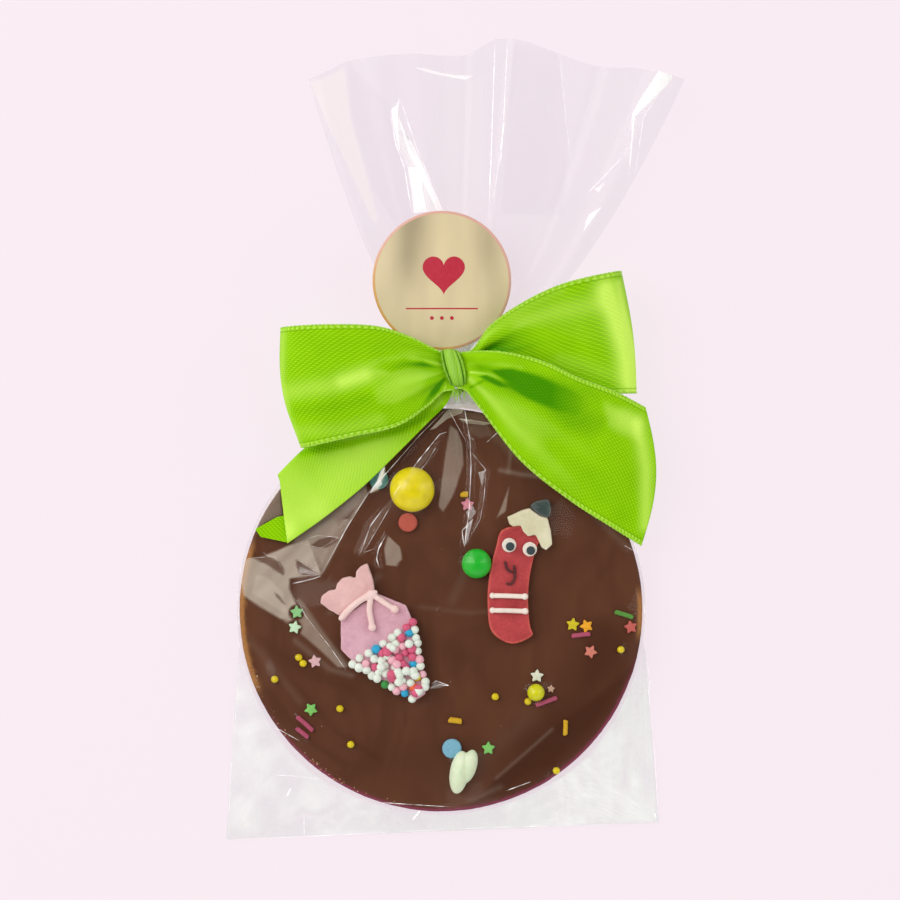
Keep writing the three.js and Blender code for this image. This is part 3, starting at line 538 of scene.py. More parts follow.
def makeDisc():
    points, faces = turnedForm(discProfile(), disc["segments"])
    radius = np.hypot(points[:, 0], points[:, 1])
    angle = np.degrees(np.arctan2(points[:, 1], points[:, 0]))
    top = points[:, 2] > disc["face"] - 0.1
    wobble = grain(points, 9, 1)
    rough = grain(points * (1, 1, 2), 1.3, 2)
    nearRim = smoothStep(radius, 61, 64)
    shrink = 1 - nearRim * (0.0016 * (wobble + 1) + 0.0014 * (rough + 1))
    points[:, 0] *= shrink
    points[:, 1] *= shrink
    points[:, 2] += np.where(top, 0.06 * grain(points, 14, 3) * (1 - nearRim), 0)
    piece = addPiece("chocolate_base", points, faces, chocolate, "chocolate", ["chocolate_disc"])
    # painted highlight where the rim's side catches the light, left and right
    strip = smoothStep(radius, 63.0 + 0.5 * rough, 63.9)
    tanLeft = (withinTurn(angle, disc["tanLeft"])
               * smoothStep(radius, 62.6 + 0.8 * rough, 63.6 + 0.3 * wobble))
    tanRight = withinTurn(angle, disc["tanRight"]) * strip
    addNumbers(piece, "tan", np.maximum(tanLeft, tanRight))
    addNumbers(piece, "rosy", 0.9 * withinTurn(angle, disc["rosy"], 25)
               * smoothStep(radius, 63.5 + 0.3 * rough, 64.3))
    # painted shade below and right of the dark line, then the drag marks and painted shadows added
    (ax, ay), (bx, by) = onObject(disc["darkLine"])
    side = ((bx - ax) * (points[:, 1] - ay) - (by - ay) * (points[:, 0] - ax)) / math.hypot(bx - ax, by - ay)
    below = (1 - smoothStep(side, -1, 1.5)) * (0.35 + 0.65 * smoothStep(side, -26, -2))
    dark = 0.6 * below
    for line, half, amount in dragMarksAndShade:
        dark = dark + amount * along(line, half, points[:, 0], points[:, 1])
    addNumbers(piece, "dark", np.clip(dark, 0, 1))
    return piece


print("chocolate disc")
makeDisc()

# Small toppings sunk in the chocolate

tones = {
    "green": "#80CC68", "mint": "#CDEFCB", "rose": "#E2B7BC", "pink": "#D98C9C", "yellow": "#D8C81C",
    "amber": "#F4AE22", "salmon": "#D98270", "coral": "#C8625A", "white": "#E8EDD8", "tan": "#C8A58C",
    "magenta": "#B4506E", "mist": "#92D28C", "leaf": "#5A9A3E", "gold": "#D8AC1C", "lemon": "#E4CE0E",
}

toppings = {
    "starOuter": 2.3, "starInner": 1.25, "starHigh": 1.2, "pearl": 1.18, "sunk": 0.35,
    "stars": [
        (-46.2, -0.6, 0.4, "mist", 1), (-46.9, -5.5, 0.1, "mint", 1), (-40.4, -16.4, 0.5, "rose", 1),
        (-41.7, -31.8, 0.9, "green", 1), (8.5, 33.9, 0.3, "pink", 1), (42.3, -4.6, 0.2, "yellow", 1),
        (46.7, -5.1, 0.7, "amber", 1), (48, -13.3, 1.1, "salmon", 1), (60.9, -5.4, 0.5, "coral", 1),
        (30.8, -21.1, 1.5, "white", 1), (15.2, -44.3, 0.3, "green", 1), (35.3, -25.2, 0.2, "tan", 0.6),
    ],
    "strands": [
        (-46, -34.2, -41.2, -38.5, 0.75, "magenta"), (-46.2, -37.9, -42.7, -40.7, 0.75, "magenta"),
        (42.1, -8.2, 47.7, -7.6, 0.75, "magenta"), (30.6, -30.4, 37, -28.1, 0.75, "magenta"),
        (56, -0.5, 61.4, -2.2, 0.75, "leaf"), (40, -35.4, 39.9, -39.8, 0.75, "gold"),
        (2.8, -35.1, 6.4, -35.6, 0.95, "gold"), (6.8, 37.2, 8.4, 37.2, 0.95, "gold"),
    ],
    "pearls": [
        (-45.6, -15.1), (-44.2, -17), (-53.3, -22.1), (-32.4, -31.5), (-28.9, -43), (17.4, -27.7),
        (27.9, -29.2), (37, -51.4), (57.7, -12.6),
    ],
}


def starForm(outer):
    # a pressed star: ten corners softened, with a rounded upper edge
    sides = 60
    turn = np.arange(sides) * 2 * math.pi / sides
    wave = np.abs((turn * 5 / math.pi) % 2 - 1)  # 1 at a point, 0 between two
    inner = outer * toppings["starInner"] / toppings["starOuter"]
    reach = 1 / (wave / outer + (1 - wave) / inner)
    reach = np.convolve(np.r_[reach[-1], reach, reach[0]], (0.2, 0.6, 0.2), "valid")
    rings = [(1, 0), (1, 0.7), (0.95, 0.9), (0.84, 1.0), (0.45, 1.03)]
    points = [(share * r * math.cos(t), share * r * math.sin(t), high * toppings["starHigh"])
              for t, r in zip(turn, reach) for share, high in rings]
    count = len(rings)
    faces = gridFaces(sides, count, closed=True)
    low, high = len(points), len(points) + 1
    points += [(0, 0, 0), (0, 0, rings[-1][1] * toppings["starHigh"])]
    for i in range(sides):
        following = (i + 1) % sides
        faces.append((low, following * count, i * count))
        faces.append((high, i * count + count - 1, following * count + count - 1))
    return np.array(points), faces


def addScattered(name, parts, colours, material, slot, **more):
    # many small pieces as one mesh, each with its own colour
    points, faces = joined(parts)
    piece = addPiece(name, points, faces, material, slot, **more)
    tone = [linear(colour) for (partPoints, _),
            colour in zip(parts, colours) for _ in range(len(partPoints))]
    addColours(piece, "tone", tone)
    return piece


def makeToppings():
    bed = disc["face"] - toppings["sunk"]
    stars = []
    for x, y, turn, _, size in toppings["stars"]:
        points, faces = starForm(toppings["starOuter"] * size)
        spin = np.array([[math.cos(turn), math.sin(turn), 0], [-math.sin(turn), math.cos(turn), 0],
                         [0, 0, 1]])
        stars.append((points @ spin + (x, y, bed), faces))
    addScattered("sugar_stars", stars, [tones[s[3]] for s in toppings["stars"]], pressed, "chocolate")
    strands = []
    for x, y, endX, endY, radius, _ in toppings["strands"]:
        ends = np.array([(x, y), (endX, endY)])
        shares = np.r_[-0.02, 0, 0.02, 0.2, 0.4, 0.6, 0.8, 0.98, 1, 1.02]
        line = ends[0] + shares[:, None] * (ends[1] - ends[0])
        line = np.c_[line, np.full(len(line), bed + radius)]
        line += 0.03 * np.sin(np.arange(30).reshape(10, 3) * 1.7)
        thick = radius * np.r_[0.7, 0.94, 1, 1, 0.97, 1.01, 0.98, 1, 0.94, 0.7]
        strands.append(tubeAlong(line, thick, 12))
    addScattered("sugar_strands", strands, [tones[s[5]] for s in toppings["strands"]], pressed, "chocolate")
    roundForm, faces = ball(3)
    pearls = [(roundForm * toppings["pearl"] * (1, 0.97, 0.95) + (x, y, bed + toppings["pearl"]), faces)
              for x, y in toppings["pearls"]]
    addScattered("sugar_pearls", pearls, [tones["lemon"]] * len(pearls), panned, "chocolate")


print("small toppings")
makeToppings()

# Crumbs and flakes of chocolate and sugar lying by the rim and on the face
crumbs = {"count": 120, "seed": 5, "turn": (196, 258), "sizes": (0.1, 0.3), "rim": 63.6, "spread": 0.5,
          "face": 62, "edge": 64.2}
crumbTones = {"rim": ["#A87C54", "#C4A488", "#7A4C30", "#B88E6C"], "face": ["#A88C70", "#C8B8A0"]}


def makeCrumbs():
    draw = random.Random(crumbs["seed"])
    form, faces = ball(1)
    parts, colours = [], []
    for i in range(crumbs["count"]):
        atRim = i % 15 > 0
        turn = math.radians(draw.uniform(*crumbs["turn"]) if atRim else draw.uniform(0, 360))
        reach = draw.gauss(crumbs["rim"],
                           crumbs["spread"]) if atRim else crumbs["face"] * math.sqrt(draw.random())
        reach = min(reach, crumbs["edge"])
        size = draw.uniform(*crumbs["sizes"]) * (1 if atRim else 0.6)
        shape = form * [size * draw.uniform(0.6, 1.5) for _ in range(3)]
        high = disc["face"] + size * 0.5
        parts.append((shape + (reach * math.cos(turn), reach * math.sin(turn), high), faces))
        colours.append(draw.choice(crumbTones["rim"] if atRim else crumbTones["face"]))
    addScattered("crumbs", parts, colours, pressed, "chocolate", smooth=False)


makeCrumbs()

# Sugar paste pieces: cut from sheets, so they have soft edges and a faintly uneven face

def extruded(outline, low, high):
    outline = [tuple(p) for p in outline]
    count = len(outline)
    points = [(x, y, low) for x, y in outline] + [(x, y, high) for x, y in outline]
    faces = [(i, (i + 1) % count, count + (i + 1) % count, count + i) for i in range(count)]
    faces += [tuple(range(count))[::-1], tuple(range(count, 2 * count))]
    return np.array(points, float), faces


def closedCurve(corners, count):
    ring = [*corners[-2:], *corners, *corners[:2]]
    shares = (2 + np.arange(count) * len(corners) / count) / (len(ring) - 1)
    return smoothCurve(ring, shares)


def pasteForm(name, parts, voxel, softness, relief, seed):
    # closed shapes melted into one soft-edged form
    points, faces = joined(parts)
    mesh = bpy.data.meshes.new(name + "Raw")
    mesh.from_pydata(points.tolist(), [], faces)
    raw = addObject(name + "Raw", mesh)
    melt = raw.modifiers.new("melt", "REMESH")
    melt.mode = "VOXEL"
    melt.voxel_size = voxel
    soften = raw.modifiers.new("soften", "SMOOTH")
    soften.factor = 0.5
    soften.iterations = softness
    made = bpy.data.meshes.new_from_object(raw.evaluated_get(bpy.context.evaluated_depsgraph_get()))
    count = len(made.vertices)
    place, normals = np.zeros(count * 3), np.zeros(count * 3)
    made.vertices.foreach_get("co", place)
    made.vertex_normals.foreach_get("vector", normals)
    place, normals = place.reshape(-1, 3), normals.reshape(-1, 3)
    place = place + normals * (relief * grain(place, 2.2, seed)
                               + 0.5 * relief * grain(place, 0.7, seed + 1))[:, None]
    madeFaces = [tuple(polygon.vertices) for polygon in made.polygons]
    bpy.data.objects.remove(raw)
    bpy.data.meshes.remove(made)
    tilt = np.clip(1.6 * normals[:, 2] * np.hypot(normals[:, 0], normals[:, 1]) * 2, 0, 1)
    return place, madeFaces, tilt * (0.6 + 0.6 * grain(place, 1.1, seed + 2))


def placed(points, x, y, z, turn=0):
    c, s = math.cos(math.radians(turn)), math.sin(math.radians(turn))
    points = np.asarray(points, float)
    return np.c_[x + c * points[:, 0] - s * points[:, 1],
                 y + s * points[:, 0] + c * points[:, 1],
                 z + points[:, 2]]


cone = {
    "x": -26.45, "y": 1.83, "turn": 34.15, "thick": 3.1,
    "halfWidths": [(0.4, 7), (8.7, 12.6), (14.5, 11.5), (20, 9.2), (25, 6.7), (31, 4.1), (35.6, 1.8)],
    "ruff": [(-6.9, 0.7), (-8.6, 4), (-9.7, 7.3), (-8, 8.9), (-5, 9), (-3.4, 8), (-1.8, 9.4), (0.6, 9.9),
             (3, 9),
             (4.1, 7.5), (5.4, 9.2), (7.6, 9.8), (9.9, 9.4), (8.6, 4.5), (6.9, 0.7)],
    "pearl": 1.36, "pearlTop": 14.6, "rowStep": 2.15, "columnStep": 2.6, "tip": 36, "upper": 16,
}
conePearls = {
    "white": "#EAF5EA", "hot": "#DC6286", "blush": "#F4BCCA", "blue": "#28AEDC", "sun": "#F2DE3A",
    "fern": "#3C9A4A", "flame": "#EC6A42",
    # single beads of rare colours, in picture pixels
    "rare": [((408, 632), "blue"), ((374, 647), "blue"), ((411, 660), "blue"), ((405, 690), "blue"),
             ((417, 675), "sun"), ((388, 680), "fern"), ((410, 689), "flame")],
    "hotCentre": (402, 650), "hotReach": 15, "seed": 23,
}


def coneHalf(down):
    depths, halves = zip(*cone["halfWidths"])
    return float(np.interp(down, depths, halves))


def repeatable(seed):
    # numbers from 0 to 1 by a fixed rule
    state = seed
    while True:
        state = (state * 16807) % 2147483647
        yield state / 2147483647


def conePearlPlaces():
    numbers = repeatable(11)
    places, row, down = [], 0, cone["pearlTop"]
    while down <= cone["tip"]:
        half = coneHalf(down) + 0.15
        count = max(1, math.floor(2 * half / cone["columnStep"] + 0.5) + row % 2)
        for i in range(count):
            across = 0 if count == 1 else -half + 2 * half * i / (count - 1)
            shift = [0.95 * (next(numbers) - 0.5) for _ in range(3)]
            places.append((across + shift[0], -down + shift[1], cone["thick"] + 0.35 + shift[2]))
        row += 1
        down += cone["rowStep"]
    for _ in range(cone["upper"]):
        down = cone["pearlTop"] + 1.5 + (cone["tip"] - cone["pearlTop"] - 4) * next(numbers)
        across = (2 * next(numbers) - 1) * (coneHalf(down) - 1.5)
        places.append((across, -down, cone["thick"] + 1.6))
    return placed(places, cone["x"], cone["y"], chocolateFace, cone["turn"])


def pearlColours(places):
    draw = random.Random(conePearls["seed"])
    (hotX, hotY), = onObject([conePearls["hotCentre"]])
    names = []
    for x, y, _ in places:
        near = math.hypot(x - hotX, y - hotY) / (conePearls["hotReach"] * pixel)
        hotChance = 0.55 if near < 1 else 0.2
        roll = draw.random()
        names.append("hot" if roll < hotChance else "blush" if roll < hotChance + 0.12 else "white")
    for spot, name in conePearls["rare"]:
        (x, y), = onObject([spot])
        nearest = int(np.argmin(np.hypot(places[:, 0] - x, places[:, 1] - y)))
        names[nearest] = name
    return [conePearls[name] for name in names]


def beadOf(points, radius, steps=24):
    # a piped line of icing with round ends
    line = smoothCurve([(*p, 0) if len(p) == 2 else p for p in points], np.linspace(0, 1, steps))
    shares = np.linspace(0, 1, steps)
    taper = np.minimum(1, 0.45 + 8 * np.minimum(shares, 1 - shares))
    return tubeAlong(line, radius * taper, 12)


def blobOf(x, y, z, sizes):
    points, faces = ball(2)
    return points * sizes + (x, y, z), faces


def addPaste(name, parts, spot, material, slot, stands, voxel=0.3, softness=5, relief=0.05, seed=1):
    points, faces, tilt = pasteForm(name, parts, voxel, softness, relief, seed)
    piece = addPiece(name, placed(points, *spot), faces, material, slot, stands)
    addNumbers(piece, "cutEdge", np.clip(tilt, 0, 1))
    return piece


def makeCone():
    spot = (cone["x"], cone["y"], chocolateFace, cone["turn"])
    left = [(-half, -down) for down, half in cone["halfWidths"]]
    right = [(half, -down) for down, half in reversed(cone["halfWidths"])]
    mauve = sugarPaste("mauveSugarPaste", "#DDB0BE", "#C996A8", poreSize=1.1)
    peach = sugarPaste("peachSugarPaste", "#E6BCBA", "#D6A8A8", poreSize=1.0)
    pale = sugarPaste("pipedIcing", "#F2D6D2", "#E8C8C4", poreSize=1.4, roughness=0.6)
    addPaste("cone_body", [extruded(left + right, 0, cone["thick"])], spot, mauve, "mauve_sugar",
             ["cone_wrap"],
             relief=0.07, seed=3)
    addPaste("cone_frill", [extruded(cone["ruff"], 0, cone["thick"] + 0.1)], spot, peach, "peach_sugar",
             ["cone_ruff"], relief=0.12, seed=5)
    icing = [
        beadOf([(-7.6, -0.6), (-3, 0.5), (1.5, 0.9), (7.6, 0.3)], 1.05),
        blobOf(5.3, 0.4, 0.1, (2.1, 1.7, 1.1)),
        beadOf([(4.6, -0.4), (2.2, -3.2), (0.9, -6), (-0.2, -8.4)], 0.95),
        blobOf(-0.2, -8.4, 0, (1.35, 1.35, 1.2)),
        beadOf([(6, -0.4), (7.2, -3.4), (8.1, -5.6), (9, -7.6)], 0.95), blobOf(9, -7.6, 0, (1.4, 1.4, 1.2)),
    ]
    tie = (cone["x"], cone["y"], chocolateFace + cone["thick"] + 1.1, cone["turn"])
    addPaste("cone_cord", icing, tie, pale, "pale_sugar", ["cone_tie"], voxel=0.22, softness=4, relief=0.04,
             seed=7)
    places = conePearlPlaces()
    form, faces = ball(3)
    draw = random.Random(9)
    parts = []
    for spotOf in places:
        size = cone["pearl"] * draw.uniform(0.94, 1.14)
        sizes = [size * draw.uniform(0.95, 1.03) for _ in range(3)]
        parts.append((form * sizes + spotOf, faces))
    nonpareils = pannedSugar("nonpareilSugar", roughness=0.55, mottleSize=1.2)
    addScattered("cone_pearls", parts, pearlColours(places), nonpareils, "mauve_sugar")


print("sugar cone")
makeCone()

pencil = {
    "thick": 2.6, "halfWide": 6.5,
    "cap": [(21.2, 30), (21.9, 27.7), (23.1, 26.9), (25.5, 27.3), (26.3, 25.3), (27.8, 23.8), (30.3, 24.3),
            (31.4, 22), (32.2, 20.2), (33.6, 19.4), (35.6, 21.2), (35.1, 25.4), (34.1, 29.7), (31.8, 30.3),
            (28.3, 32.8), (25.6, 32)],
    "lead": [(28.6, 33.3), (30.2, 34.9), (32, 35.4), (34.2, 35.5), (35.1, 33.6), (34.6, 30.1), (32.1, 30.3),
             (29.8, 32.0)],
    "eyes": {"left": (21.8, 21), "right": (28.4, 19.7)}, "eye": 2.3, "eyeHigh": 1.1, "pupil": 1.38,
    "pupilHigh": 0.7,
    "stripes": {"upper": (16.4, 26.8, 4.9), "lower": (16.4, 26.9, 0.2)},
    "nose": [(20.5, 15.9), (20.9, 13.8), (21.8, 12.7), (23.1, 12.3)],
    "smile": [(23.3, 14.7), (23.6, 12.1), (23.3, 9.8), (22.2, 8.5), (20.8, 8.8)],
}


def pencilMiddle(y):
    return 21.4 + 0.0097 * (y - 3.5) ** 2


def pencilOutline():
    heights = [-5.5, 0, 5, 10, 15, 20, 26]
    corners = [(pencilMiddle(y) + pencil["halfWide"], y) for y in heights]
    corners += [(pencilMiddle(y) - pencil["halfWide"], y) for y in reversed(heights)]
    corners += [(17.6, -8.2), (22.6, -10.6), (27.4, -9.2), (29.4, -7.6)]
    return [tuple(p) for p in closedCurve(corners, 120)]


def domeForm(radius, high, rings=10, segments=40):
    half = high * 0.56
    start = -math.asin((high - half) / half)
    profile = [(0, 0)]
    for i in range(rings + 1):
        angle = start + (math.pi / 2 - start) * i / rings
        profile.append((max(radius * math.cos(angle), 0.02), high - half + half * math.sin(angle)))
    return turnedForm([*profile, (0, high)], segments)


def addDome(name, radius, high, spot, tone, material, slot, stands, dent=0.0, seed=1):
    points, faces = domeForm(radius, high)
    if dent:
        points = points * (1 + dent * grain(points, radius * 0.8, seed)[:, None])
        points[:, 2] = np.maximum(points[:, 2], 0)
    piece = addPiece(name, placed(points, *spot), faces, material, slot, stands)
    addColours(piece, "tone", [linear(tone)] * len(points))
    return piece


def makePencil():
    bed, upper = chocolateFace, chocolateFace + pencil["thick"]
    # its pink edge is partly icing dust and partly a painted highlight along the rounded edge
    red = sugarPaste("redSugarPaste", "#C04448", "#A02E30", poreSize=0.8, relief=0.3, edge=0.6,
                     edgeColour="#F07860")
    cream = sugarPaste("creamSugarPaste", "#E2DFC0", "#D0CCA6", poreSize=1.3, roughness=0.6)
    grey = sugarPaste("slateSugarPaste", "#3F544F", "#2A3A38", poreSize=0.7, roughness=0.85, relief=0.3,
                      edge=0.12)
    brown = sugarPaste("cocoaIcing", "#5A2024", "#3C1216", poreSize=0.8, roughness=0.5)
    white = sugarPaste("whiteIcing", "#F7F0E4", "#EBDDD0", poreSize=1.2, roughness=0.5)
    spot = (0, 0, bed, 0)
    addPaste("pencil_red", [extruded(pencilOutline(), 0, pencil["thick"])], spot, red, "red_sugar",
             ["pencil_body"], relief=0.06, seed=11)
    addPaste("pencil_cap", [extruded(pencil["cap"], 0, pencil["thick"] + 0.9)], spot, cream, "cream_sugar",
             ["pencil_wood"], relief=0.09, seed=13)
    addPaste("pencil_tip", [extruded(closedCurve(pencil["lead"], 60), 0, pencil["thick"] + 1.1)], spot, grey,
             "grey_sugar", ["pencil_lead"], softness=8, relief=0.1, seed=15)
    for side, (x, y) in pencil["eyes"].items():
        addDome("eye_" + side, pencil["eye"], pencil["eyeHigh"], (x, y, upper + 0.05, 0), "#EFE8DC", pressed,
                "white_sugar", ["pencil_eye_" + side])
        addDome("pupil_" + side, pencil["pupil"], pencil["pupilHigh"],
                (x + 0.3, y - 0.4, upper + pencil["eyeHigh"] + 0.02, 0), "#35454A", pressed, "grey_sugar",
                ["pencil_pupil_" + side])
    for side, (left, right, y) in pencil["stripes"].items():
        line = beadOf([(left, y), ((left + right) / 2, y - 0.1), (right, y - 0.3)], 0.8)
        blobs = [blobOf(left, y, 0, (0.95, 1.0, 0.9)), blobOf(right, y - 0.3, 0, (1.15, 1.1, 0.95))]
        addPaste("stripe_" + side, [line, *blobs], (0, 0, upper + 0.95, 0), white, "white_sugar",
                 ["pencil_stripe_" + side], voxel=0.2, softness=3, relief=0.03, seed=17)
    for part, stroke in (("nose", pencil["nose"]), ("smile", pencil["smile"])):
        points, faces = beadOf(stroke, 0.38)
        addPiece("stroke_" + part, placed(points, 0, 0, upper + 0.42), faces, brown, "brown_sugar",
                 ["pencil_" + part])


print("sugar pencil")
makePencil()

sweets = {
    "yellow_dragee": {"radius": 7.2, "high": 9.4, "at": (-9.2, 38.8), "tone": "#EADA00",
                      "slot": "yellow_shell"},
    "green_dragee": {"radius": 4.75, "high": 5.6, "at": (11.4, 15.1), "tone": "#1CBE2C",
                     "slot": "green_shell"},
    "lime_ball": {"radius": 2.75, "high": 5, "at": (30.4, -26.2), "tone": "#DADC00", "slot": "lime_shell"},
}
buttons = {
    "blue_button": {"radius": 3.1, "high": 1.6, "at": (3.5, -44.3), "tone": "#7DB8D0", "slot": "blue_press"},
    "red_button": {"radius": 3.05, "high": 1.8, "at": (-10.6, 28.2), "tone": "#BC5848", "slot": "red_press"},
    "teal_button": {"radius": 3.1, "high": 1.8, "at": (-19.9, 41.9), "tone": "#62A09A",
                    "slot": "teal_press"},
}
# the mint piece's two lobes: place, half width, half length, height, turn in degrees
mintLobes = [(5.9, -51.8, 3.1, 7, 3.2, -9), (8.9, -49.9, 2.6, 5.6, 2.9, -16)]


def makeSweets():
    for name, sweet in sweets.items():
        addDome("sweet_" + name, sweet["radius"], sweet["high"], (*sweet["at"], chocolateFace, 0),
                sweet["tone"],
                panned, sweet["slot"], [name], dent=0.012, seed=len(name))
    for name, sweet in buttons.items():
        radius, high = sweet["radius"], sweet["high"]
        profile = [(0, 0), (radius - 0.25, 0), (radius, 0.35), (radius, high - 0.6),
                   (radius - 0.14, high - 0.22),
                   (radius - 0.5, high - 0.03), (radius - 0.9, high), (radius * 0.4, high + 0.03),
                   (0, high + 0.04)]
        points, faces = turnedForm(profile, 48)
        points[:, :2] *= (1 + 0.02 * grain(points, 2.5, high))[:, None]
        piece = addPiece("sweet_" + name, placed(points, *sweet["at"], chocolateFace), faces, pressed,
                         sweet["slot"], [name])
        addColours(piece, "tone", [linear(sweet["tone"])] * len(points))
    mint = sugarPaste("mintSugar", "#DDF2CE", "#C8E2B6", poreSize=2.0, roughness=0.55)
    lobes = []
    for x, y, halfWide, halfLong, high, turn in mintLobes:
        points, faces = ball(3)
        points = points * (halfWide, halfLong, high)
        points[:, 2] = np.maximum(points[:, 2], -1.6)
        lobes.append((placed(points, x, y, 1.6, turn), faces))
    addPaste("mint_lobes", lobes, (0, 0, chocolateFace, 0), mint, "mint_sugar", ["mint_piece"], voxel=0.25,
             softness=3, relief=0.05, seed=19)


print("sweets")
makeSweets()

# Satin bow: each band runs between two edge curves, in millimetres

bands = {
    "bow_loop_left": {
        "lower": [
            (4.4, 70.6, 15.3), (0.8, 70, 15.4), (-4, 65.6, 16.4), (-13.2, 59.4, 18.6), (-29.2, 55.5, 19.6),
            (-42.2, 52.6, 18.8), (-44.4, 52.3, 16.5), (-42, 52.5, 14.1), (-29, 56.5, 13.6),
            (-13, 61.5, 13.5), (0.8, 70.2, 13.6), (4.4, 70.8, 13.6),
        ],
        "upper": [
            (4.4, 82.2, 15.3), (0.2, 82.6, 15.4), (-10, 87.3, 18.4), (-19.6, 90.2, 20.8), (-35.6, 90.8, 22),
            (-48.3, 90.2, 20.6), (-50.6, 89.9, 17.4), (-48, 89.7, 14.4), (-35, 89.3, 13.7),
            (-18, 86.6, 13.6), (0.2, 82.2, 13.6), (4.4, 82, 13.6),
        ],
        "columns": 220, "rows": 60, "hollow": 1.0, "flat": (0.038, 0.112), "held": "folded",
        "folds": [(0.3, -1.5, 0.1, 20), (0.66, -1.3, 0.08, 16), (0.48, 0.9, 0.1, 26), (0.86, 0.7, 0.1, 14)],
    },
    "bow_loop_right": {
        "lower": [
            (5.2, 70.8, 14), (9.6, 70.6, 13.9), (15, 70.2, 14), (25.4, 69.6, 14.1), (38.2, 69.4, 14.1),
            (59.8, 69.6, 14), (62.3, 69.7, 12.4), (59.8, 69.9, 10.9), (38, 70.6, 10.7), (25, 71, 10.9),
            (15, 71.2, 11.4), (9.4, 71, 12), (5.2, 71, 12.2),
        ],
        "upper": [
            (5.2, 82, 14), (9.6, 83, 14), (15.7, 90.8, 16.4), (25.4, 97.6, 19), (38.2, 103.6, 21),
            (54.6, 107.5, 20.6), (57.2, 107.9, 17), (54.6, 107.4, 13.9), (38, 102.6, 13), (25, 96.4, 12.9),
            (15, 89, 12.9), (9.4, 82.6, 12.3), (5.2, 81.8, 12.2),
        ],
        "columns": 230, "rows": 60, "hollow": 1.8, "flat": (0.038, 0.122), "held": "folded",
        "folds": [(0.62, -1.9, 0.09, 20), (0.82, 0.8, 0.08, 18), (0.42, 0.7, 0.1, 22)],
    },
    "bow_tail_right": {
        "lower": [
            (5.2, 71.2, 15.7), (7.6, 70.6, 15.8), (11.5, 66, 15.9), (25.4, 48.2, 14.4), (41.4, 35.3, 12.4),
            (54, 27.2, 11.2), (64.2, 20.9, 10.4),
        ],
        "upper": [
            (5.2, 82.2, 15.7), (9.6, 82.6, 16), (18.9, 82.5, 17.4), (31.8, 79.6, 18), (43, 74.5, 17.6),
            (54.9, 70, 16.6), (65.2, 64.8, 14),
        ],
        "columns": 150, "rows": 60, "hollow": 1.0, "flat": (0.038, 0.078), "held": "draped",
        "folds": [(0.62, -2.6, 0.1, 26), (0.38, 1.0, 0.12, 26), (0.88, 0.6, 0.08, 20),
        (0.16, -0.7, 0.08, 14)],
    },
    "bow_tail_left": {
        "lower": [
            (4.2, 71.4, 12.5), (2.0, 66.4, 12.5), (-3.5, 60.8, 12.4), (-14.8, 49.4, 12.9),
            (-24.4, 40.1, 12.9), (-37, 30, 12), (-49.1, 21.5, 11),
        ],
        "upper": [
            (4.4, 81.4, 12.5), (-2, 78.8, 12.4), (-14, 73, 12.2), (-25, 65.5, 12.2), (-34.5, 58, 12.1),
            (-43.5, 51, 11.8), (-51.7, 43, 11.4),
        ],
        "columns": 150, "rows": 80, "hollow": 1.0, "flat": (0.038, 0.078), "held": "folded", "folds": [],
    },
}
ribbon = {"thick": 0.34, "selvage": 0.3, "picot": 1.3}
ribbonPoints = []
knotMiddle = (4.8, 76.4)


def nearFold(u):
    return np.exp(-(((u - 0.5) / 0.12) ** 2))


def swellOf(name, u):
    swell = np.zeros((len(u), 3))
    if name == "bow_loop_left":
        swell[:, 0] = -3 * nearFold(u)
        swell[:, 2] = np.where(u < 0.5, 1.4 * np.sin(2 * math.pi * u), 0)
    if name == "bow_loop_right":
        swell[:, 0] = 1.2 * nearFold(u)
    if name == "bow_tail_right":
        swell[:, 0] = 4 * u**3
        swell[:, 2] = 1.2 * np.sin(math.pi * u)
    return swell


def bandPoints(name, u, v):
    # u and v are flat lists of the same length
    band = bands[name]
    low, high = smoothCurve(band["lower"], u), smoothCurve(band["upper"], u)
    points = low + (high - low) * v[:, None]
    points[:, 2] = low[:, 2] + (high[:, 2] - low[:, 2]) * v ** band["hollow"]
    return points + swellOf(name, u) * np.sin(math.pi * v)[:, None]


def foldedTail(u, v):
    # the left tail's upper part is turned under along its length
    foldAt = 0.56
    inFront = v <= foldAt
    under = np.clip((v - foldAt) / 0.1, 0, 1)
    inward = 1 - np.maximum(0, (v - foldAt - 0.05) / foldAt) * 0.95
    points = bandPoints("bow_tail_left", u, np.where(inFront, v / foldAt, inward))
    drop = 0.8 + 0.7 * np.minimum(1, 5 * u)
    points[:, 2] += 0.3 * np.sin(math.pi * np.where(inFront, v / foldAt, inward))
    points[:, 2] -= np.where(inFront, 0, drop / 2 * (1 - np.cos(math.pi * under)))
    out = np.where(inFront, 0, 0.7 * np.sin(math.pi * under))
    return points + out[:, None] * np.array([-0.72, 0.69, 0])


def gather(name, points, v, normals):
    # folds that run out from the knot and fade
    fromKnot = np.hypot(points[:, 0] - knotMiddle[0], points[:, 1] - knotMiddle[1])
    moved, paintedShading = np.zeros(len(points)), np.zeros(len(points))
    for centre, depth, width, fade in bands[name]["folds"]:
        reach = np.exp(-((fromKnot / fade) ** 2)) * smoothStep(fromKnot, 3, 9)
        profile = np.exp(-(((v - centre) / width) ** 2))
        moved += depth * reach * profile
        # the fold valleys are kept for painted shade
        if depth < 0:
            paintedShading = np.maximum(paintedShading, reach * profile)
    moved += 0.16 * grain(points, 13, 71) * smoothStep(fromKnot, 6, 20)
    return points + normals * moved[:, None], paintedShading


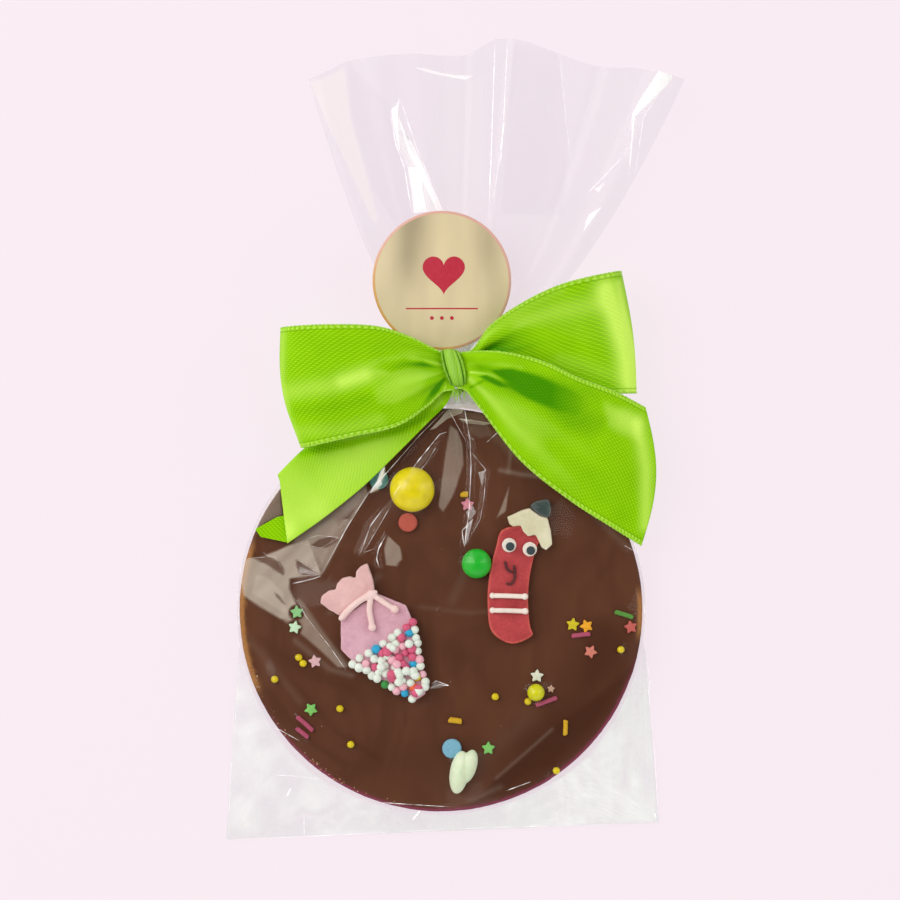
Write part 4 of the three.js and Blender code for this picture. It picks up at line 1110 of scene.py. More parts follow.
# Gleams and shadows of the silk in picture pixels: line, half width, how much lighter or darker
gleams = {
    "bow_loop_left": [
        ([(296, 392), (330, 387), (356, 379), (390, 369), (412, 363)], 9, 0.35), ([(345, 383), (366, 376)],
         7, 0.5), ([(298, 432), (345, 430), (380, 420)], 7, 0.18), ([(300, 345), (340, 345), (390, 348)],
         8, -0.08), ([(300, 412), (340, 407), (372, 399)], 6, -0.22), ([(286, 336), (284, 380), (292, 424),
         (302, 448)], 4, 0.35),
    ],
    "bow_loop_right": [
        ([(476, 341), (500, 322), (530, 305), (560, 293)], 4, 0.15), ([(604, 292), (614, 320), (624, 350),
         (630, 384)], 11, 1.1), ([(616, 285), (624, 320), (632, 360), (636, 390)], 3.5, 0.5), ([(520, 325),
         (550, 315), (595, 306)], 10, 0.32), ([(560, 360), (600, 372), (624, 380)], 8, 0.12), ([(474, 357),
         (500, 357), (522, 361)], 2.5, 0.3), ([(530, 345), (570, 345)], 7, -0.1),
    ],
    "bow_tail_right": [
        ([(550, 448), (590, 480), (622, 512)], 14, -0.16), ([(637, 425), (645, 470), (645, 525)], 7, 0.6),
        ([(470, 366), (500, 366), (520, 370)], 2.5, 0.25), ([(586, 404), (612, 414), (634, 424)], 9, 0.25),
    ],
    "bow_tail_left": [
        ([(290, 490), (320, 500), (372, 446)], 34, 0.5), ([(274, 512), (296, 520), (318, 512)], 14, 0.3),
        ([(440, 385), (440, 402), (424, 424)], 3, 0.3), ([(302, 452), (350, 444), (400, 430), (442, 410)],
         4, -0.5), ([(260, 529), (272, 528), (286, 532)], 11, 0.9),
    ],
}
# Painted shade and highlights of folds that start narrow and deep at the knot and widen as they fade: the
# same numbers
pulledFolds = {
    "bow_loop_left": [
        ([(444, 366), (425, 362), (400, 362), (370, 366)], 3.0, 0.6), ([(444, 357), (420, 349), (390, 345)],
         3, -0.35), ([(444, 380), (424, 392), (402, 404), (378, 411)], 3.0, -0.38), ([(445, 374),
         (425, 382), (400, 392)], 2.4, -0.35),
    ],
    "bow_loop_right": [
        ([(470, 350), (490, 334), (515, 320)], 3, 0.35), ([(472, 357), (500, 352), (540, 350)], 4, -0.5),
    ],
    "bow_tail_right": [
        ([(470, 366), (490, 366), (516, 370)], 2.5, -0.2), ([(470, 380), (488, 398), (516, 430), (552, 462),
         (600, 500)], 8, 0.5), ([(470, 388), (484, 381), (504, 387), (524, 398)], 3.0, -0.7), ([(470, 373),
         (488, 375), (508, 382), (530, 394)], 2.6, 0.8), ([(470, 392), (482, 410), (500, 432)], 3, -0.4),
    ],
}
# Leaf shaped painted shadows and highlights of the folds, in picture pixels: outline, softness, how much
# lighter or darker, and how far from the knot they fade
leaves = {
    "bow_loop_left": [
        ([(444, 370), (424, 360), (404, 357), (380, 360), (366, 372), (392, 376), (408, 371), (426, 370)],
         6, -1.8, 56), ([(398, 371), (424, 367), (443, 371), (446, 376), (434, 386), (421, 400), (396, 412),
         (360, 408), (372, 384)], 12, 0.65, 80), ([(448, 376), (439, 381), (430, 390), (421, 404),
         (410, 420), (428, 406), (440, 392)], 3, -2.2, 36), ([(447, 379), (442, 389), (432, 401),
         (425, 408), (440, 403), (448, 392)], 3, 0.5, 60),
    ],
    "bow_loop_right": [
        ([(472, 357), (482, 348), (495, 339), (510, 331), (530, 322), (560, 312), (590, 322), (560, 344),
         (520, 354), (490, 357)], 4.5, -1.7, 54), ([(500, 336), (540, 318), (590, 306), (620, 330),
         (600, 352), (540, 356), (506, 351)], 20, 0.1, 160), ([(478, 362), (520, 366), (545, 374),
         (560, 384), (540, 384), (500, 372)], 3, -0.3, 90),
    ],
    "bow_tail_right": [
        ([(492, 364), (552, 370), (600, 386), (630, 402), (620, 430), (590, 446), (560, 434), (536, 413),
         (510, 391)], 18, -0.85, 150), ([(486, 369), (512, 366), (540, 374), (568, 386), (596, 404),
         (576, 419), (548, 412), (524, 402), (504, 387)], 6, -1.5, 86), ([(474, 377), (486, 375),
         (500, 381), (514, 390), (498, 389), (486, 382)], 2.5, -1.7, 46), ([(470, 381), (484, 386),
         (508, 392), (530, 402), (560, 418), (600, 446), (610, 480), (560, 470), (520, 440), (486, 404)],
         18, 0.4, 110), ([(594, 392), (644, 412), (644, 450), (600, 430)], 12, 0.5, 400),
    ],
}


def gridNormals(points, columns, rows):
    grid = points.reshape(columns, rows, 3)
    along, across = np.gradient(grid, axis=0), np.gradient(grid, axis=1)
    normals = np.cross(along, across).reshape(-1, 3)
    return normals / np.maximum(np.linalg.norm(normals, axis=1), 1e-9)[:, None]


def addRibbon(name, points, columns, rows, paintedShading, material, uvScale):
    piece = addPiece("ribbon_" + name, points, gridFaces(columns, rows), material, "satin_ribbon", [name])
    uv = piece.data.uv_layers.new(name="weave")
    corners = np.zeros(len(piece.data.loops), int)
    piece.data.loops.foreach_get("vertex_index", corners)
    lengthwise = (corners // rows) / (columns - 1) * uvScale[0]
    crosswise = (corners % rows) / (rows - 1) * uvScale[1]
    if name == "bow_tail_left":
        crosswise = crosswise * 0.9 + 2.4
    uv.data.foreach_set("uv", np.stack([lengthwise, crosswise], axis=1).ravel())
    # painted shading: darker in fold valleys, then lighter and darker along the gleams, pulled folds and
    # leaves
    tone = -paintedShading
    for line, half, amount in gleams.get(name, []):
        tone = tone + amount * along(line, half, points[:, 0], points[:, 1])
    for line, half, amount in pulledFolds.get(name, []):
        tone = tone + amount * along(line, half, points[:, 0], points[:, 1], pulled=True)
    fromKnot = np.hypot(points[:, 0] - knotMiddle[0], points[:, 1] - knotMiddle[1])
    for outline, soft, amount, fade in leaves.get(name, []):
        depth = outlineDistance(points[:, 0], points[:, 1], onObject(outline))
        tone = tone + (amount * smoothStep(depth, 0, soft * pixel)
                       * np.exp(-((fromKnot / (fade * pixel)) ** 2)))
    addNumbers(piece, "hollow", np.clip(-tone, 0, 1))
    addNumbers(piece, "lit", np.clip(tone, 0, 1))
    ribbonPoints.append(points)
    body = piece.modifiers.new("cloth thickness", "SOLIDIFY")
    body.thickness = ribbon["thick"] * mm
    body.offset = 0
    return piece


def selvageOf(name, points, columns, rows):
    # the stitched edge: a row of tight loops along each side
    grid = points.reshape(columns, rows, 3)
    parts = []
    for edge in (rows - 1,) if name == "bow_tail_left" else (0, rows - 1):
        line = grid[:, edge]
        length = np.r_[0, np.cumsum(np.linalg.norm(np.diff(line, axis=0), axis=1))]
        steps = int(length[-1] / (ribbon["picot"] / 6))
        places = np.linspace(0, length[-1], steps)
        fine = np.stack([np.interp(places, length, line[:, k]) for k in range(3)], axis=1)
        beat = np.abs(np.sin(math.pi * places / ribbon["picot"]))
        parts.append(tubeAlong(fine, ribbon["selvage"] * (0.55 + 0.45 * beat), 6))
    return joined(parts)


def makeBand(name):
    band = bands[name]
    columns, rows = band["columns"], band["rows"]
    u, v = np.meshgrid(np.linspace(0, 1, columns), np.linspace(0, 1, rows), indexing="ij")
    u, v = u.ravel(), v.ravel()
    points = foldedTail(u, v) if name == "bow_tail_left" else bandPoints(name, u, v)
    normals = gridNormals(points, columns, rows)
    points, paintedShading = gather(name, points, v, normals)
    size = (band["flat"][1] / mm, band["flat"][0] / mm)
    piece = addRibbon(name, points, columns, rows, 0.3 * paintedShading, satin, size)
    edgePoints, faces = selvageOf(name, points, columns, rows)
    edge = addPiece("edge_" + name, edgePoints, faces, selvageSatin, "satin_ribbon")


def stitchedEdge():
    # the ribbon's corded selvage: tight shiny loops of the same thread, darker between them
    material = startMaterial("stitchedEdge")
    place = addNode(material, "TexCoord").outputs["Object"]
    thread = addNode(material, "TexNoise", inputs={"Vector": place, "Scale": perSize(0.6), "Detail": 2})
    share = addNode(material, "MapRange", inputs={"Value": thread, "From Min": 0.35, "From Max": 0.65})
    colour = addNode(material, "Mix", colourMix, {
        "Factor": share, "A": linear("#84C412"), "B": linear("#B4E450")})
    shader = addNode(material, "BsdfPrincipled", inputs={
        "Base Color": colour, "Roughness": 0.45, "IOR": 1.5})
    return endMaterial(material, shader)


selvageSatin = stitchedEdge()
print("bow")
for bandName in bands:
    makeBand(bandName)

# The left tail's corner, folded under and pointing out
corner = {"outline": [(-47, 24), (-47.6, 31), (-52.4, 30), (-59.4, 26.1), (-57.6, 23.6), (-49, 21.8)],
          "z": 10.5}


def makeCorner():
    points, faces = extruded(corner["outline"], corner["z"] - 0.15, corner["z"] + 0.2)
    piece = addPiece("ribbon_corner", points, faces, satin, "satin_ribbon", smooth=False)
    uv = piece.data.uv_layers.new(name="weave")
    for loop in piece.data.loops:
        place = piece.data.vertices[loop.vertex_index].co / mm
        uv.data[loop.index].uv = (place.x, place.y)
    # a touch of painted shade on the corner
    addNumbers(piece, "hollow", [0.1] * len(points))
    addNumbers(piece, "lit", [0] * len(points))


makeCorner()

knot = {"x": 2.7, "y": 77.5, "z": 13.9, "halfTall": 6.2, "halfDeep": 3.9, "wide": 6.9,
        "grooves": (-0.36, 0.35),
        "columns": 120, "rows": 44, "flat": (0.0102, 0.036)}


def makeKnot():
    turn, across = np.meshgrid(np.linspace(0, 2 * math.pi, knot["columns"]),
                               np.linspace(-0.5, 0.5, knot["rows"]),
                               indexing="ij")
    c, s = np.cos(turn), np.sin(turn)
    halfTall, halfDeep = knot["halfTall"] - 0.3, knot["halfDeep"] - 0.3
    tall, deep = np.sign(c) * np.sqrt(np.abs(c)) * halfTall, np.sign(s) * np.sqrt(np.abs(s)) * halfDeep
    twist = across + 0.02 * np.sin(2 * turn)
    pleat = 0.12 * np.cos(17 * across + turn)
    for place in knot["grooves"]:
        pleat = pleat - 1.15 * np.exp(-(((twist - place) / 0.05) ** 2))
    swell = 0.25 * np.cos(math.pi * across)
    deep = deep + np.sign(s) * np.minimum(1, 3 * np.abs(s)) * (pleat + swell)
    share = (knot["halfTall"] - tall) / (2 * knot["halfTall"])
    narrow = 1 - 1.1 * (share - 0.45) ** 2
    x = knot["x"] + 2.9 * share + across * knot["wide"] * narrow
    tall = tall * (1 - 0.35 * across**2)
    points = np.stack([x, knot["y"] + tall, knot["z"] + deep], axis=2).reshape(-1, 3)
    # painted shading of the knot: dark lines along its pleats and edges, lighter down the middle, darker
    # towards its lower end
    lines = [depth * np.exp(-(((across - place) / 0.035) ** 2))
             for place, depth in ((-0.49, 0.7), (-0.36, 1.2), (-0.12, 0.2), (0.12, 0.35), (0.35, 1.2),
                                  (0.49, 0.7))]
    middle = np.exp(-(((across + 0.1) / 0.13) ** 2)) + 0.6 * np.exp(-(((across - 0.24) / 0.06) ** 2))
    paintedShading = np.clip(sum(lines) - 0.5 * middle + 0.5 * smoothStep(share, 0.6, 1), -0.6, 1).ravel()
    piece = addRibbon("bow_knot", points, knot["columns"], knot["rows"], 0.6 * paintedShading, knotSatin,
                      (knot["flat"][1] / mm, knot["flat"][0] / mm))


def makeFray():
    # loose threads under the knot, where the centre band was cut
    draw = random.Random(14)
    parts = []
    for _ in range(26):
        x, lean = 5.7 + draw.uniform(-2.0, 2.0), draw.uniform(-0.8, 0.8)
        start = np.array([x, 70.9, 14.5 + draw.uniform(-1.5, 1.2)])
        reach = draw.uniform(1.5, 4.2)
        line = [start, start + (lean * 0.5, -reach * 0.5, 0.3), start + (lean, -reach, -0.4)]
        parts.append(tubeAlong(smoothCurve(line, np.linspace(0, 1, 7)), 0.11, 5))
    points, faces = joined(parts)
    addPiece("ribbon_fray", points, faces, selvageSatin, "satin_ribbon")


makeKnot()
makeFray()

# Clear film: pouch

def addFilmLook(piece, hazeAndGlare, shade, shine):
    # how milky the film is, with its painted glare and glints in the same number, how dull and how shiny it
    # is: one number each, or one for each point
    for name, values in (("hazeAndGlare", hazeAndGlare), ("shade", shade), ("shine", shine)):
        addNumbers(piece, name, np.broadcast_to(values, len(piece.data.vertices)))


neckFoot = (4.8, 66.2)
pouch = {
    "inside": 65.35, "hug": 66.2, "shoulder": 8.6, "hem": 1.1, "gap": 0.45,
    "corners": [(-69.7, -74.8), (70.6, -69.3), (66.2, -14), (54, 36), (8.5, 69.6), (0.8, 69.6), (-54, 36),
                (-65.6, -14)],
    "spokes": 760, "rings": 110, "skirtRings": 16,
}

# What holds the film up off the chocolate: two ends of a line, half width, height, all in millimetres
supports = [
    (-9.2, 38.8, -9.2, 38.8, 6.2, 9.7), (11.4, 15.1, 11.4, 15.1, 4.2, 5.9),
    (30.4, -26.2, 30.4, -26.2, 2.4, 5.3), (-31, 8, -17, -14, 10, 3.6), (-14, -14, -6, -26, 6, 5.4),
    (-27, 1, -19, -4, 6.5, 5.9), (22, 24, 22, -5, 7, 3.1), (22, 21, 29, 19.5, 3.2, 5),
    (28, 29, 33, 24, 5.5, 4.2), (31.5, 33, 33, 32, 2.5, 4.2), (16.4, 4.9, 26.9, 4.8, 1.3, 4.8),
    (16.4, 0.2, 26.9, 0, 1.3, 4.8), (6.5, -52.5, 9, -48.5, 4.6, 5), (3.5, -44.3, 3.5, -44.3, 3.2, 2.2),
    (-10.6, 28.2, -10.6, 28.2, 3.1, 2.3), (-19.9, 41.9, -19.9, 41.9, 3.2, 2.4),
]
supports += [(x, y, x, y, 2.2, 1.4) for x, y, *_ in toppings["stars"]]
supports += [(x, y, x, y, 1.2, 2.3) for x, y in toppings["pearls"]]
supports += [(x, y, endX, endY, 1.0, 1.9) for x, y, endX, endY, *_ in toppings["strands"]]

# Painted reflections on panels of film that lean towards the light and look grey, in picture pixels:
# outline, strength, softness
shiningPanels = [
    ([(245, 558), (262, 555), (278, 549), (291, 543), (310, 537), (324, 575), (308, 577), (291, 579),
     (291, 588), (297, 602), (304, 612), (297, 624), (280, 619), (259, 607), (243, 596), (239, 580)],
     0.36, 2.6), ([(243, 596), (259, 607), (280, 619), (297, 624), (291, 588), (270, 568), (250, 566)],
     0.44, 10), ([(291, 543), (302, 527), (330, 505), (366, 477), (369, 495), (350, 524), (324, 575),
     (310, 545)], 0.17, 1.6), ([(291, 543), (318, 519), (338, 508), (346, 526), (324, 575), (306, 552)],
     0.25, 9), ([(280, 480), (283, 515), (266, 523), (253, 533), (259, 514), (268, 498)], 0.18, 2),
    ([(290, 616), (302, 604), (322, 634), (348, 667), (338, 667), (319, 649), (300, 633), (282, 620)],
     0.2, 2.4), ([(450, 424), (458, 430), (463, 444), (464, 464), (457, 486), (450, 502), (443, 512),
     (438, 506), (444, 460)], 0.17, 1.4), ([(388, 534), (401, 546), (403, 558), (397, 566), (386, 565),
     (384, 548)], 0.22, 1.4), ([(510, 482), (500, 508), (495, 519), (506, 511)], 0.19, 1.2), ([(385, 460),
     (386, 474), (379, 490), (368, 495), (377, 482)], 0.6, 1.2), ([(446, 433), (434, 450), (416, 474),
     (390, 506), (364, 552), (357, 553), (371, 525), (394, 495), (419, 460)], 0.08, 1.4), ([(463, 410),
     (484, 412), (494, 436), (478, 440), (468, 430)], 0.05, 3), ([(453, 409), (476, 414), (498, 424),
     (478, 421), (458, 418)], 0.06, 2),
]
# Flat islands in the large panel that stay dark, left out of the painted reflection, in picture pixels
darkIslands = [
    [(309, 545), (319, 538), (331, 535), (340, 537), (338, 543), (328, 548), (317, 549)], [(295, 557),
     (305, 562), (323, 574), (310, 577), (300, 575), (296, 567)], [(247, 557), (266, 554), (280, 560),
     (286, 568), (285, 577), (278, 573), (268, 566), (257, 561)], [(271, 588), (280, 594), (290, 607),
     (283, 604), (276, 597)], [(340, 520), (352, 508), (360, 503), (350, 520)],
]
# Faint soft streaks of painted reflection, in picture pixels: line, half width, strength
streaks = [
    ([(500, 470), (520, 474), (552, 478)], 2.2, 0.09), ([(512, 440), (508, 472)], 2.0, 0.06), ([(495, 436),
     (530, 466)], 5, 0.04), ([(575, 492), (600, 520), (628, 548)], 4, 0.04), ([(380, 575), (350, 600),
     (330, 612)], 3, 0.03), ([(470, 560), (452, 600)], 5, 0.02), ([(296, 640), (330, 668), (352, 674)],
     3, 0.05), ([(250, 640), (300, 700)], 4, 0.02), ([(420, 606), (470, 612), (490, 610)], 2.5, 0.02),
    ([(470, 800), (500, 786)], 3, 0.04), ([(496, 777), (524, 753), (552, 728)], 1.4, 0.06), ([(470, 765),
     (500, 742), (530, 716)], 9, 0.012), ([(300, 600), (322, 632), (346, 664)], 2.5, 0.12), ([(470, 430),
     (476, 470)], 2, 0.05),
]
# Sharp folds of the gathered film, in picture pixels: points, height and half width in millimetres
ridges = [
    ([(463, 400), (470, 440), (471, 466), (469, 511), (464, 547)], 1.0, 1.4), ([(472, 453), (486, 470),
     (480, 519), (464, 547)], 0.7, 1.2), ([(447, 410), (419, 437), (396, 464), (379, 481), (368, 495),
     (347, 528), (322, 574)], 1.0, 1.8), ([(440, 434), (419, 460), (411, 471), (394, 495), (371, 525),
     (360, 552)], 0.8, 1.4), ([(436, 447), (419, 472), (392, 504), (364, 552)], 0.6, 1.2), ([(387, 535),
     (378, 550), (380, 567)], 0.6, 1.2), ([(430, 686), (449, 682)], 0.4, 1.2),
]
drape = {"edge": 68.0, "cell": 0.8, "rounds": 900, "clearance": 0.5, "lowest": 0.25}


def drapedHeights():
    # film pulled taut: each point settles between its neighbours, held up by what lies
    # on the chocolate and held down by the ribbon
    axis = np.arange(-drape["edge"], drape["edge"] + drape["cell"], drape["cell"])
    x, y = np.meshgrid(axis, axis, indexing="ij")
    below = np.zeros(x.shape)
    for ax, ay, bx, by, half, top in supports:
        away = segmentDistance(x, y, (ax, ay), (bx, by)) / half
        below = np.maximum(below, np.where(away < 1, top * (1 - 0.35 * away**2), 0))
    above = np.full(x.shape, 40.0)
    for points in ribbonPoints:
        near = np.max(np.abs(points[:, :2]), axis=1) < drape["edge"]
        i, j = ((points[near, :2] + drape["edge"]) / drape["cell"]).round().astype(int).T
        np.minimum.at(above, (i, j), points[near, 2] - disc["face"] - pouch["gap"] - drape["clearance"])
    above = np.maximum(above, drape["lowest"])[1:-1, 1:-1]
    inside = (np.hypot(x, y) < pouch["inside"] - 1)[1:-1, 1:-1]
    height = below.copy()
    below = below[1:-1, 1:-1]
    for _ in range(drape["rounds"]):
        middle = (height[:-2, 1:-1] + height[2:, 1:-1] + height[1:-1, :-2] + height[1:-1, 2:]) / 4
        height[1:-1, 1:-1] = np.where(inside, np.minimum(np.maximum(middle, below), above), 0)
    return height


draped = drapedHeights()


def pouchReach(turn):
    reach = np.full(len(turn), pouch["hug"])
    corners = pouch["corners"]
    c, s = np.cos(turn), np.sin(turn)
    for (ax, ay), (bx, by) in zip(corners, corners[1:] + corners[:1]):
        lean = c * (by - ay) - s * (bx - ax)
        lean = np.where(np.abs(lean) < 1e-9, 1e-9, lean)
        outward = (ax * (by - ay) - ay * (bx - ax)) / lean
        share = (ax * s - ay * c) / lean
        reach = np.where((outward > reach) & (share >= -1e-6) & (share <= 1 + 1e-6), outward, reach)
    return reach


def drapedAt(x, y):
    # height between the four nearest points of the draped film
    limit = draped.shape[0] - 2
    i, j = ((np.asarray(c, float) + drape["edge"]) / drape["cell"] for c in (x, y))
    lowI, lowJ = (np.clip(c.astype(int), 0, limit) for c in (i, j))
    a, b = np.clip(i - lowI, 0, 1), np.clip(j - lowJ, 0, 1)
    near = draped[lowI, lowJ] * (1 - a) + draped[lowI + 1, lowJ] * a
    far = draped[lowI, lowJ + 1] * (1 - a) + draped[lowI + 1, lowJ + 1] * a
    return near * (1 - b) + far * b


def filmOverDisc(x, y):
    # height of the front film over the chocolate's face
    height = drapedAt(x, y)
    for points, top, half in ridges:
        points = onObject(points)
        away = np.min([segmentDistance(x, y, a, b) for a, b in zip(points, points[1:])], axis=0)
        height += top * np.clip(1 - away / half, 0, 1)
    return height * smoothStep(-np.hypot(x, y), -pouch["inside"] + 0.2, -pouch["inside"] + 3)


def pullStreaks(x, y):
    # painted sheen of fine wrinkles that run out from the gathered neck, about -1 to 1
    turn = np.arctan2(y - neckFoot[1], x - neckFoot[0])
    reach = np.hypot(x - neckFoot[0], y - neckFoot[1])
    return grain(np.c_[(turn * 26).ravel(), (reach / 14).ravel(), np.zeros(x.size)], 1, 37).reshape(x.shape)


def filmHazeAndGlare(x, y):
    # where the film over the chocolate looks grey or milky, with painted reflections and sheen
    pull = pullStreaks(x, y)
    hazeAndGlare = 0.002 + 0.02 * np.clip(pull, 0, 1) * np.exp(-np.hypot(x - neckFoot[0], y - neckFoot[1]) / 30)
    panels = np.zeros(x.shape)
    for outline, strength, soft in shiningPanels:
        inside = smoothStep(outlineDistance(x, y, onObject(outline)), 0, soft * pixel)
        panels = np.maximum(panels, strength * inside)
    panels *= 0.95 + 0.22 * pull
    for starX, starY, *_ in toppings["stars"]:
        panels *= smoothStep(np.hypot(x - starX, y - starY), 2.2, 3.0)
    for outline in darkIslands:
        depth = outlineDistance(x, y, onObject(outline))
        panels *= 1 - 0.8 * smoothStep(depth, 0.1, 0.6)
    for line, half, strength in streaks:
        hazeAndGlare += strength * along(line, half, x, y)
    return hazeAndGlare + panels


def makePouch():
    turn = np.arange(pouch["spokes"]) * 2 * math.pi / pouch["spokes"]
    reach = pouchReach(turn)
    inner = pouch["inside"] * np.linspace(0, 1, pouch["rings"] + 1)[1:] ** 0.9
    skirt = np.linspace(0, 1, pouch["skirtRings"] + 1)[1:]
    radii = np.concatenate([np.tile(inner, (len(turn), 1)),
                            pouch["inside"] + skirt * (reach[:, None] - pouch["inside"])], axis=1)
    x, y = radii * np.cos(turn)[:, None], radii * np.sin(turn)[:, None]
    over = filmOverDisc(x, y)
    base = disc["face"] + pouch["gap"]
    flat = np.stack([x.ravel(), y.ravel(), np.zeros(x.size)], axis=1)
    crinkle = grain(flat, 7, 31).reshape(x.shape)
    fine = grain(flat, 2.4, 33).reshape(x.shape)
    z = base + over + 0.05 * crinkle
    count = len(inner)
    drop = pouch["hem"] + (pouch["shoulder"] - pouch["hem"]) * (1 - skirt) ** 1.3
    room = np.clip((reach - pouch["hug"]) / 6, 0, 1)[:, None]
    fold = np.abs(grain(np.c_[np.cos(turn) * 30, np.sin(turn) * 30, turn * 0], 3.2, 35))[:, None]
    hump = np.sin(math.pi * skirt)[None] * room
    z[:, count:] = drop + hump * (1.6 * fold + 0.9 * crinkle[:, count:] + 0.35 * fine[:, count:])
    z[:, count - 1] = np.minimum(z[:, count - 1], base)
    points = np.stack([x, y, z], axis=2).reshape(-1, 3)
    faces = gridFaces(len(turn), x.shape[1], closed=True)
    middle = len(points)
    points = np.vstack([points, (0, 0, base)])
    faces += [(middle, i * x.shape[1], ((i + 1) % len(turn)) * x.shape[1]) for i in range(len(turn))]
    piece = addPiece("film_front", points, faces, filmClear, "film", ["bag"])
    hazeAndGlare = filmHazeAndGlare(x, y)
    # the skirt's milky haze, whiter towards the right; its white blotches and upright streaks are partly
    # crinkled film and partly painted glints
    blotches = np.clip(fine[:, count:] * crinkle[:, count:] * 2.5, 0, 1)
    upright = (grain(flat * (0.7, 0.09, 1), 1, 34).reshape(x.shape)[:, count:]
               * smoothStep(x[:, count:], 20, 45))
    sideways = smoothStep(x[:, count:], -60, 40)
    hazy = 0.3 + 0.34 * sideways
    hazeAndGlare[:, count:] = 0.14 + room * (hazy + 0.28 * crinkle[:, count:] + 0.15 * blotches + 0.3 * upright)
    hazeAndGlare[:, -1] = 0.4
    shade = np.zeros(x.shape)
    shade[:, count:] = 0.25
    gap = smoothStep(-np.hypot(x - neckFoot[0], 1.6 * (y - neckFoot[1])), -11, -5)
    shade *= 1 - gap
    outside = np.zeros(x.shape)
    outside[:, count:] = 1
    hazeAndGlare += outside * gap * (0.35 + 0.25 * crinkle - hazeAndGlare)
    shine = np.full(x.shape, 0.22)
    shine[:, count:] = 0.7
    addFilmLook(piece, np.append(np.clip(hazeAndGlare, 0, 0.9), 0.01), np.append(shade, 0), np.append(shine, 0.22))
    return turn, reach


def makeBackFilm(turn, reach):
    shares = np.array([0.25, 0.5, 0.75, 0.97, 1.0])
    radii = reach[:, None] * shares
    z = np.tile([0.12, 0.12, 0.12, 0.3, pouch["hem"] - 0.25], (len(turn), 1))
    points = np.stack([radii * np.cos(turn)[:, None], radii * np.sin(turn)[:, None], z], axis=2).reshape(-1,
                                                                                                         3)
    faces = [face[::-1] for face in gridFaces(len(turn), len(shares), closed=True)]
    middle = len(points)
    faces += [(middle, ((i + 1) % len(turn)) * 5, i * 5) for i in range(len(turn))]
    piece = addPiece("film_back", np.vstack([points, (0, 0, 0.12)]), faces, filmClear, "film")
    addFilmLook(piece, 0.08, 0.2, 0.5)


print("pouch")
turns, reaches = makePouch()
makeBackFilm(turns, reaches)

# Clear film: gathered neck and the fan above it

neck = {"x": 4.8, "z": 5.2, "halfWide": 3.3, "halfDeep": 3.3, "low": 66.2, "high": 88, "pleats": 13,
        "around": 156, "levels": 40,
        "sections": [(0, 2.6, 0.95), (0.09, 1.3, 1), (0.16, 1, 1), (0.74, 1, 1), (0.88, 1.5, 0.85),
                     (1, 2.4, 0.55)]}
fan = {
    "foot": 82, "top": 178, "spread": 0.58, "rise": 2.6, "ripple": 2, "mouthRipple": 4.8, "waves": 2.6,
    "columns": 190,
    "rows": 130, "gap": 0.5,
    "mouth": [(-43, 171.7), (-30.5, 175.6), (-8.3, 178), (7.1, 179.1), (17.3, 183), (28.6, 181.4),
              (48.2, 176.2),
              (61.3, 174), (77.7, 169.5)],
}
# Painted highlights and painted shade on the fan's film, in picture pixels: outline, added haze and glare,
# added shade
fanAreas = [
    ([(392, 108), (398, 101), (402, 129), (420, 159), (442, 203), (456, 214), (415, 218), (407, 172),
     (394, 133)], 0.25, 0), ([(415, 70), (432, 69), (473, 73), (463, 77), (432, 73)], 0.7, 0), ([(346, 60),
     (392, 108), (407, 172), (415, 218), (400, 235), (372, 190), (352, 120)], 0.0, 0.1), ([(443, 76),
     (486, 74), (484, 215), (456, 214), (442, 203), (420, 159)], 0.06, 0.0), ([(512, 45), (560, 52),
     (570, 130), (565, 215), (500, 215)], 0.0, 0.1), ([(596, 70), (640, 80), (615, 160), (600, 200),
     (590, 120)], 0.05, 0.02), ([(662, 73), (673, 79), (657, 99), (636, 118), (631, 144), (629, 121),
     (644, 95)], 0.7, 0), ([(306, 78), (346, 68), (352, 120), (372, 190), (380, 222), (372, 222)],
     0.14, -0.1), ([(588, 216), (601, 209), (583, 232)], 0.35, 0), ([(622, 150), (631, 142), (629, 180)],
     0.2, 0),
]


def makeNeck():
    around, count = neck["around"], neck["levels"]
    heights = np.linspace(0, 1, count)
    levels, wides, deeps = zip(*neck["sections"])
    wide, deep = np.interp(heights, levels, wides), np.interp(heights, levels, deeps)
    turn = np.arange(around) * 2 * math.pi / around
    pleat = (1 + 0.13 * np.cos(neck["pleats"] * turn)[:, None]
             + 0.05 * np.sin(5 * turn[:, None] + 9 * heights[None]))
    x = neck["x"] + np.cos(turn)[:, None] * neck["halfWide"] * wide * pleat
    z = neck["z"] + np.sin(turn)[:, None] * neck["halfDeep"] * deep * pleat
    y = np.broadcast_to(neck["low"] + heights * (neck["high"] - neck["low"]), x.shape)
    points = np.stack([x, y, z], axis=2).reshape(-1, 3)
    piece = addPiece("film_neck", points, gridFaces(around, count, closed=True), filmClear, "film")
    shiny = np.abs(grain(points * (1, 0.4, 1), 1.6, 41))
    addFilmLook(piece, np.clip(0.3 + 0.5 * shiny, 0, 0.7), 0.3, 1)


def fanPoint(u, v):
    rise = v**1.5
    mouth = np.array(fan["mouth"], float)
    place = u * (len(mouth) - 1)
    mouthX = np.interp(place, range(len(mouth)), mouth[:, 0])
    mouthY = np.interp(place, range(len(mouth)), mouth[:, 1])
    footX = neck["x"] + (u - 0.5) * 2 * neck["halfWide"]
    ripple = (fan["ripple"] + fan["mouthRipple"] * rise) * np.minimum(1, 4 * rise)
    x = footX + (mouthX - footX) * rise**fan["spread"]
    y = fan["foot"] + (mouthY - fan["foot"]) * rise
    z = neck["z"] + fan["rise"] * rise - ripple * np.cos(2 * math.pi * fan["waves"] * u)
    return x, y, z


def fanHeight(x, y):
    # height of the fan's film over a place, found from its rows
    v = np.clip((y - fan["foot"]) / (fan["top"] - fan["foot"]), 0, 1) ** (1 / 1.5)
    u = np.linspace(0, 1, 300)
    rowX, _, rowZ = fanPoint(u, np.full(300, v))
    return float(np.interp(x, rowX, rowZ))


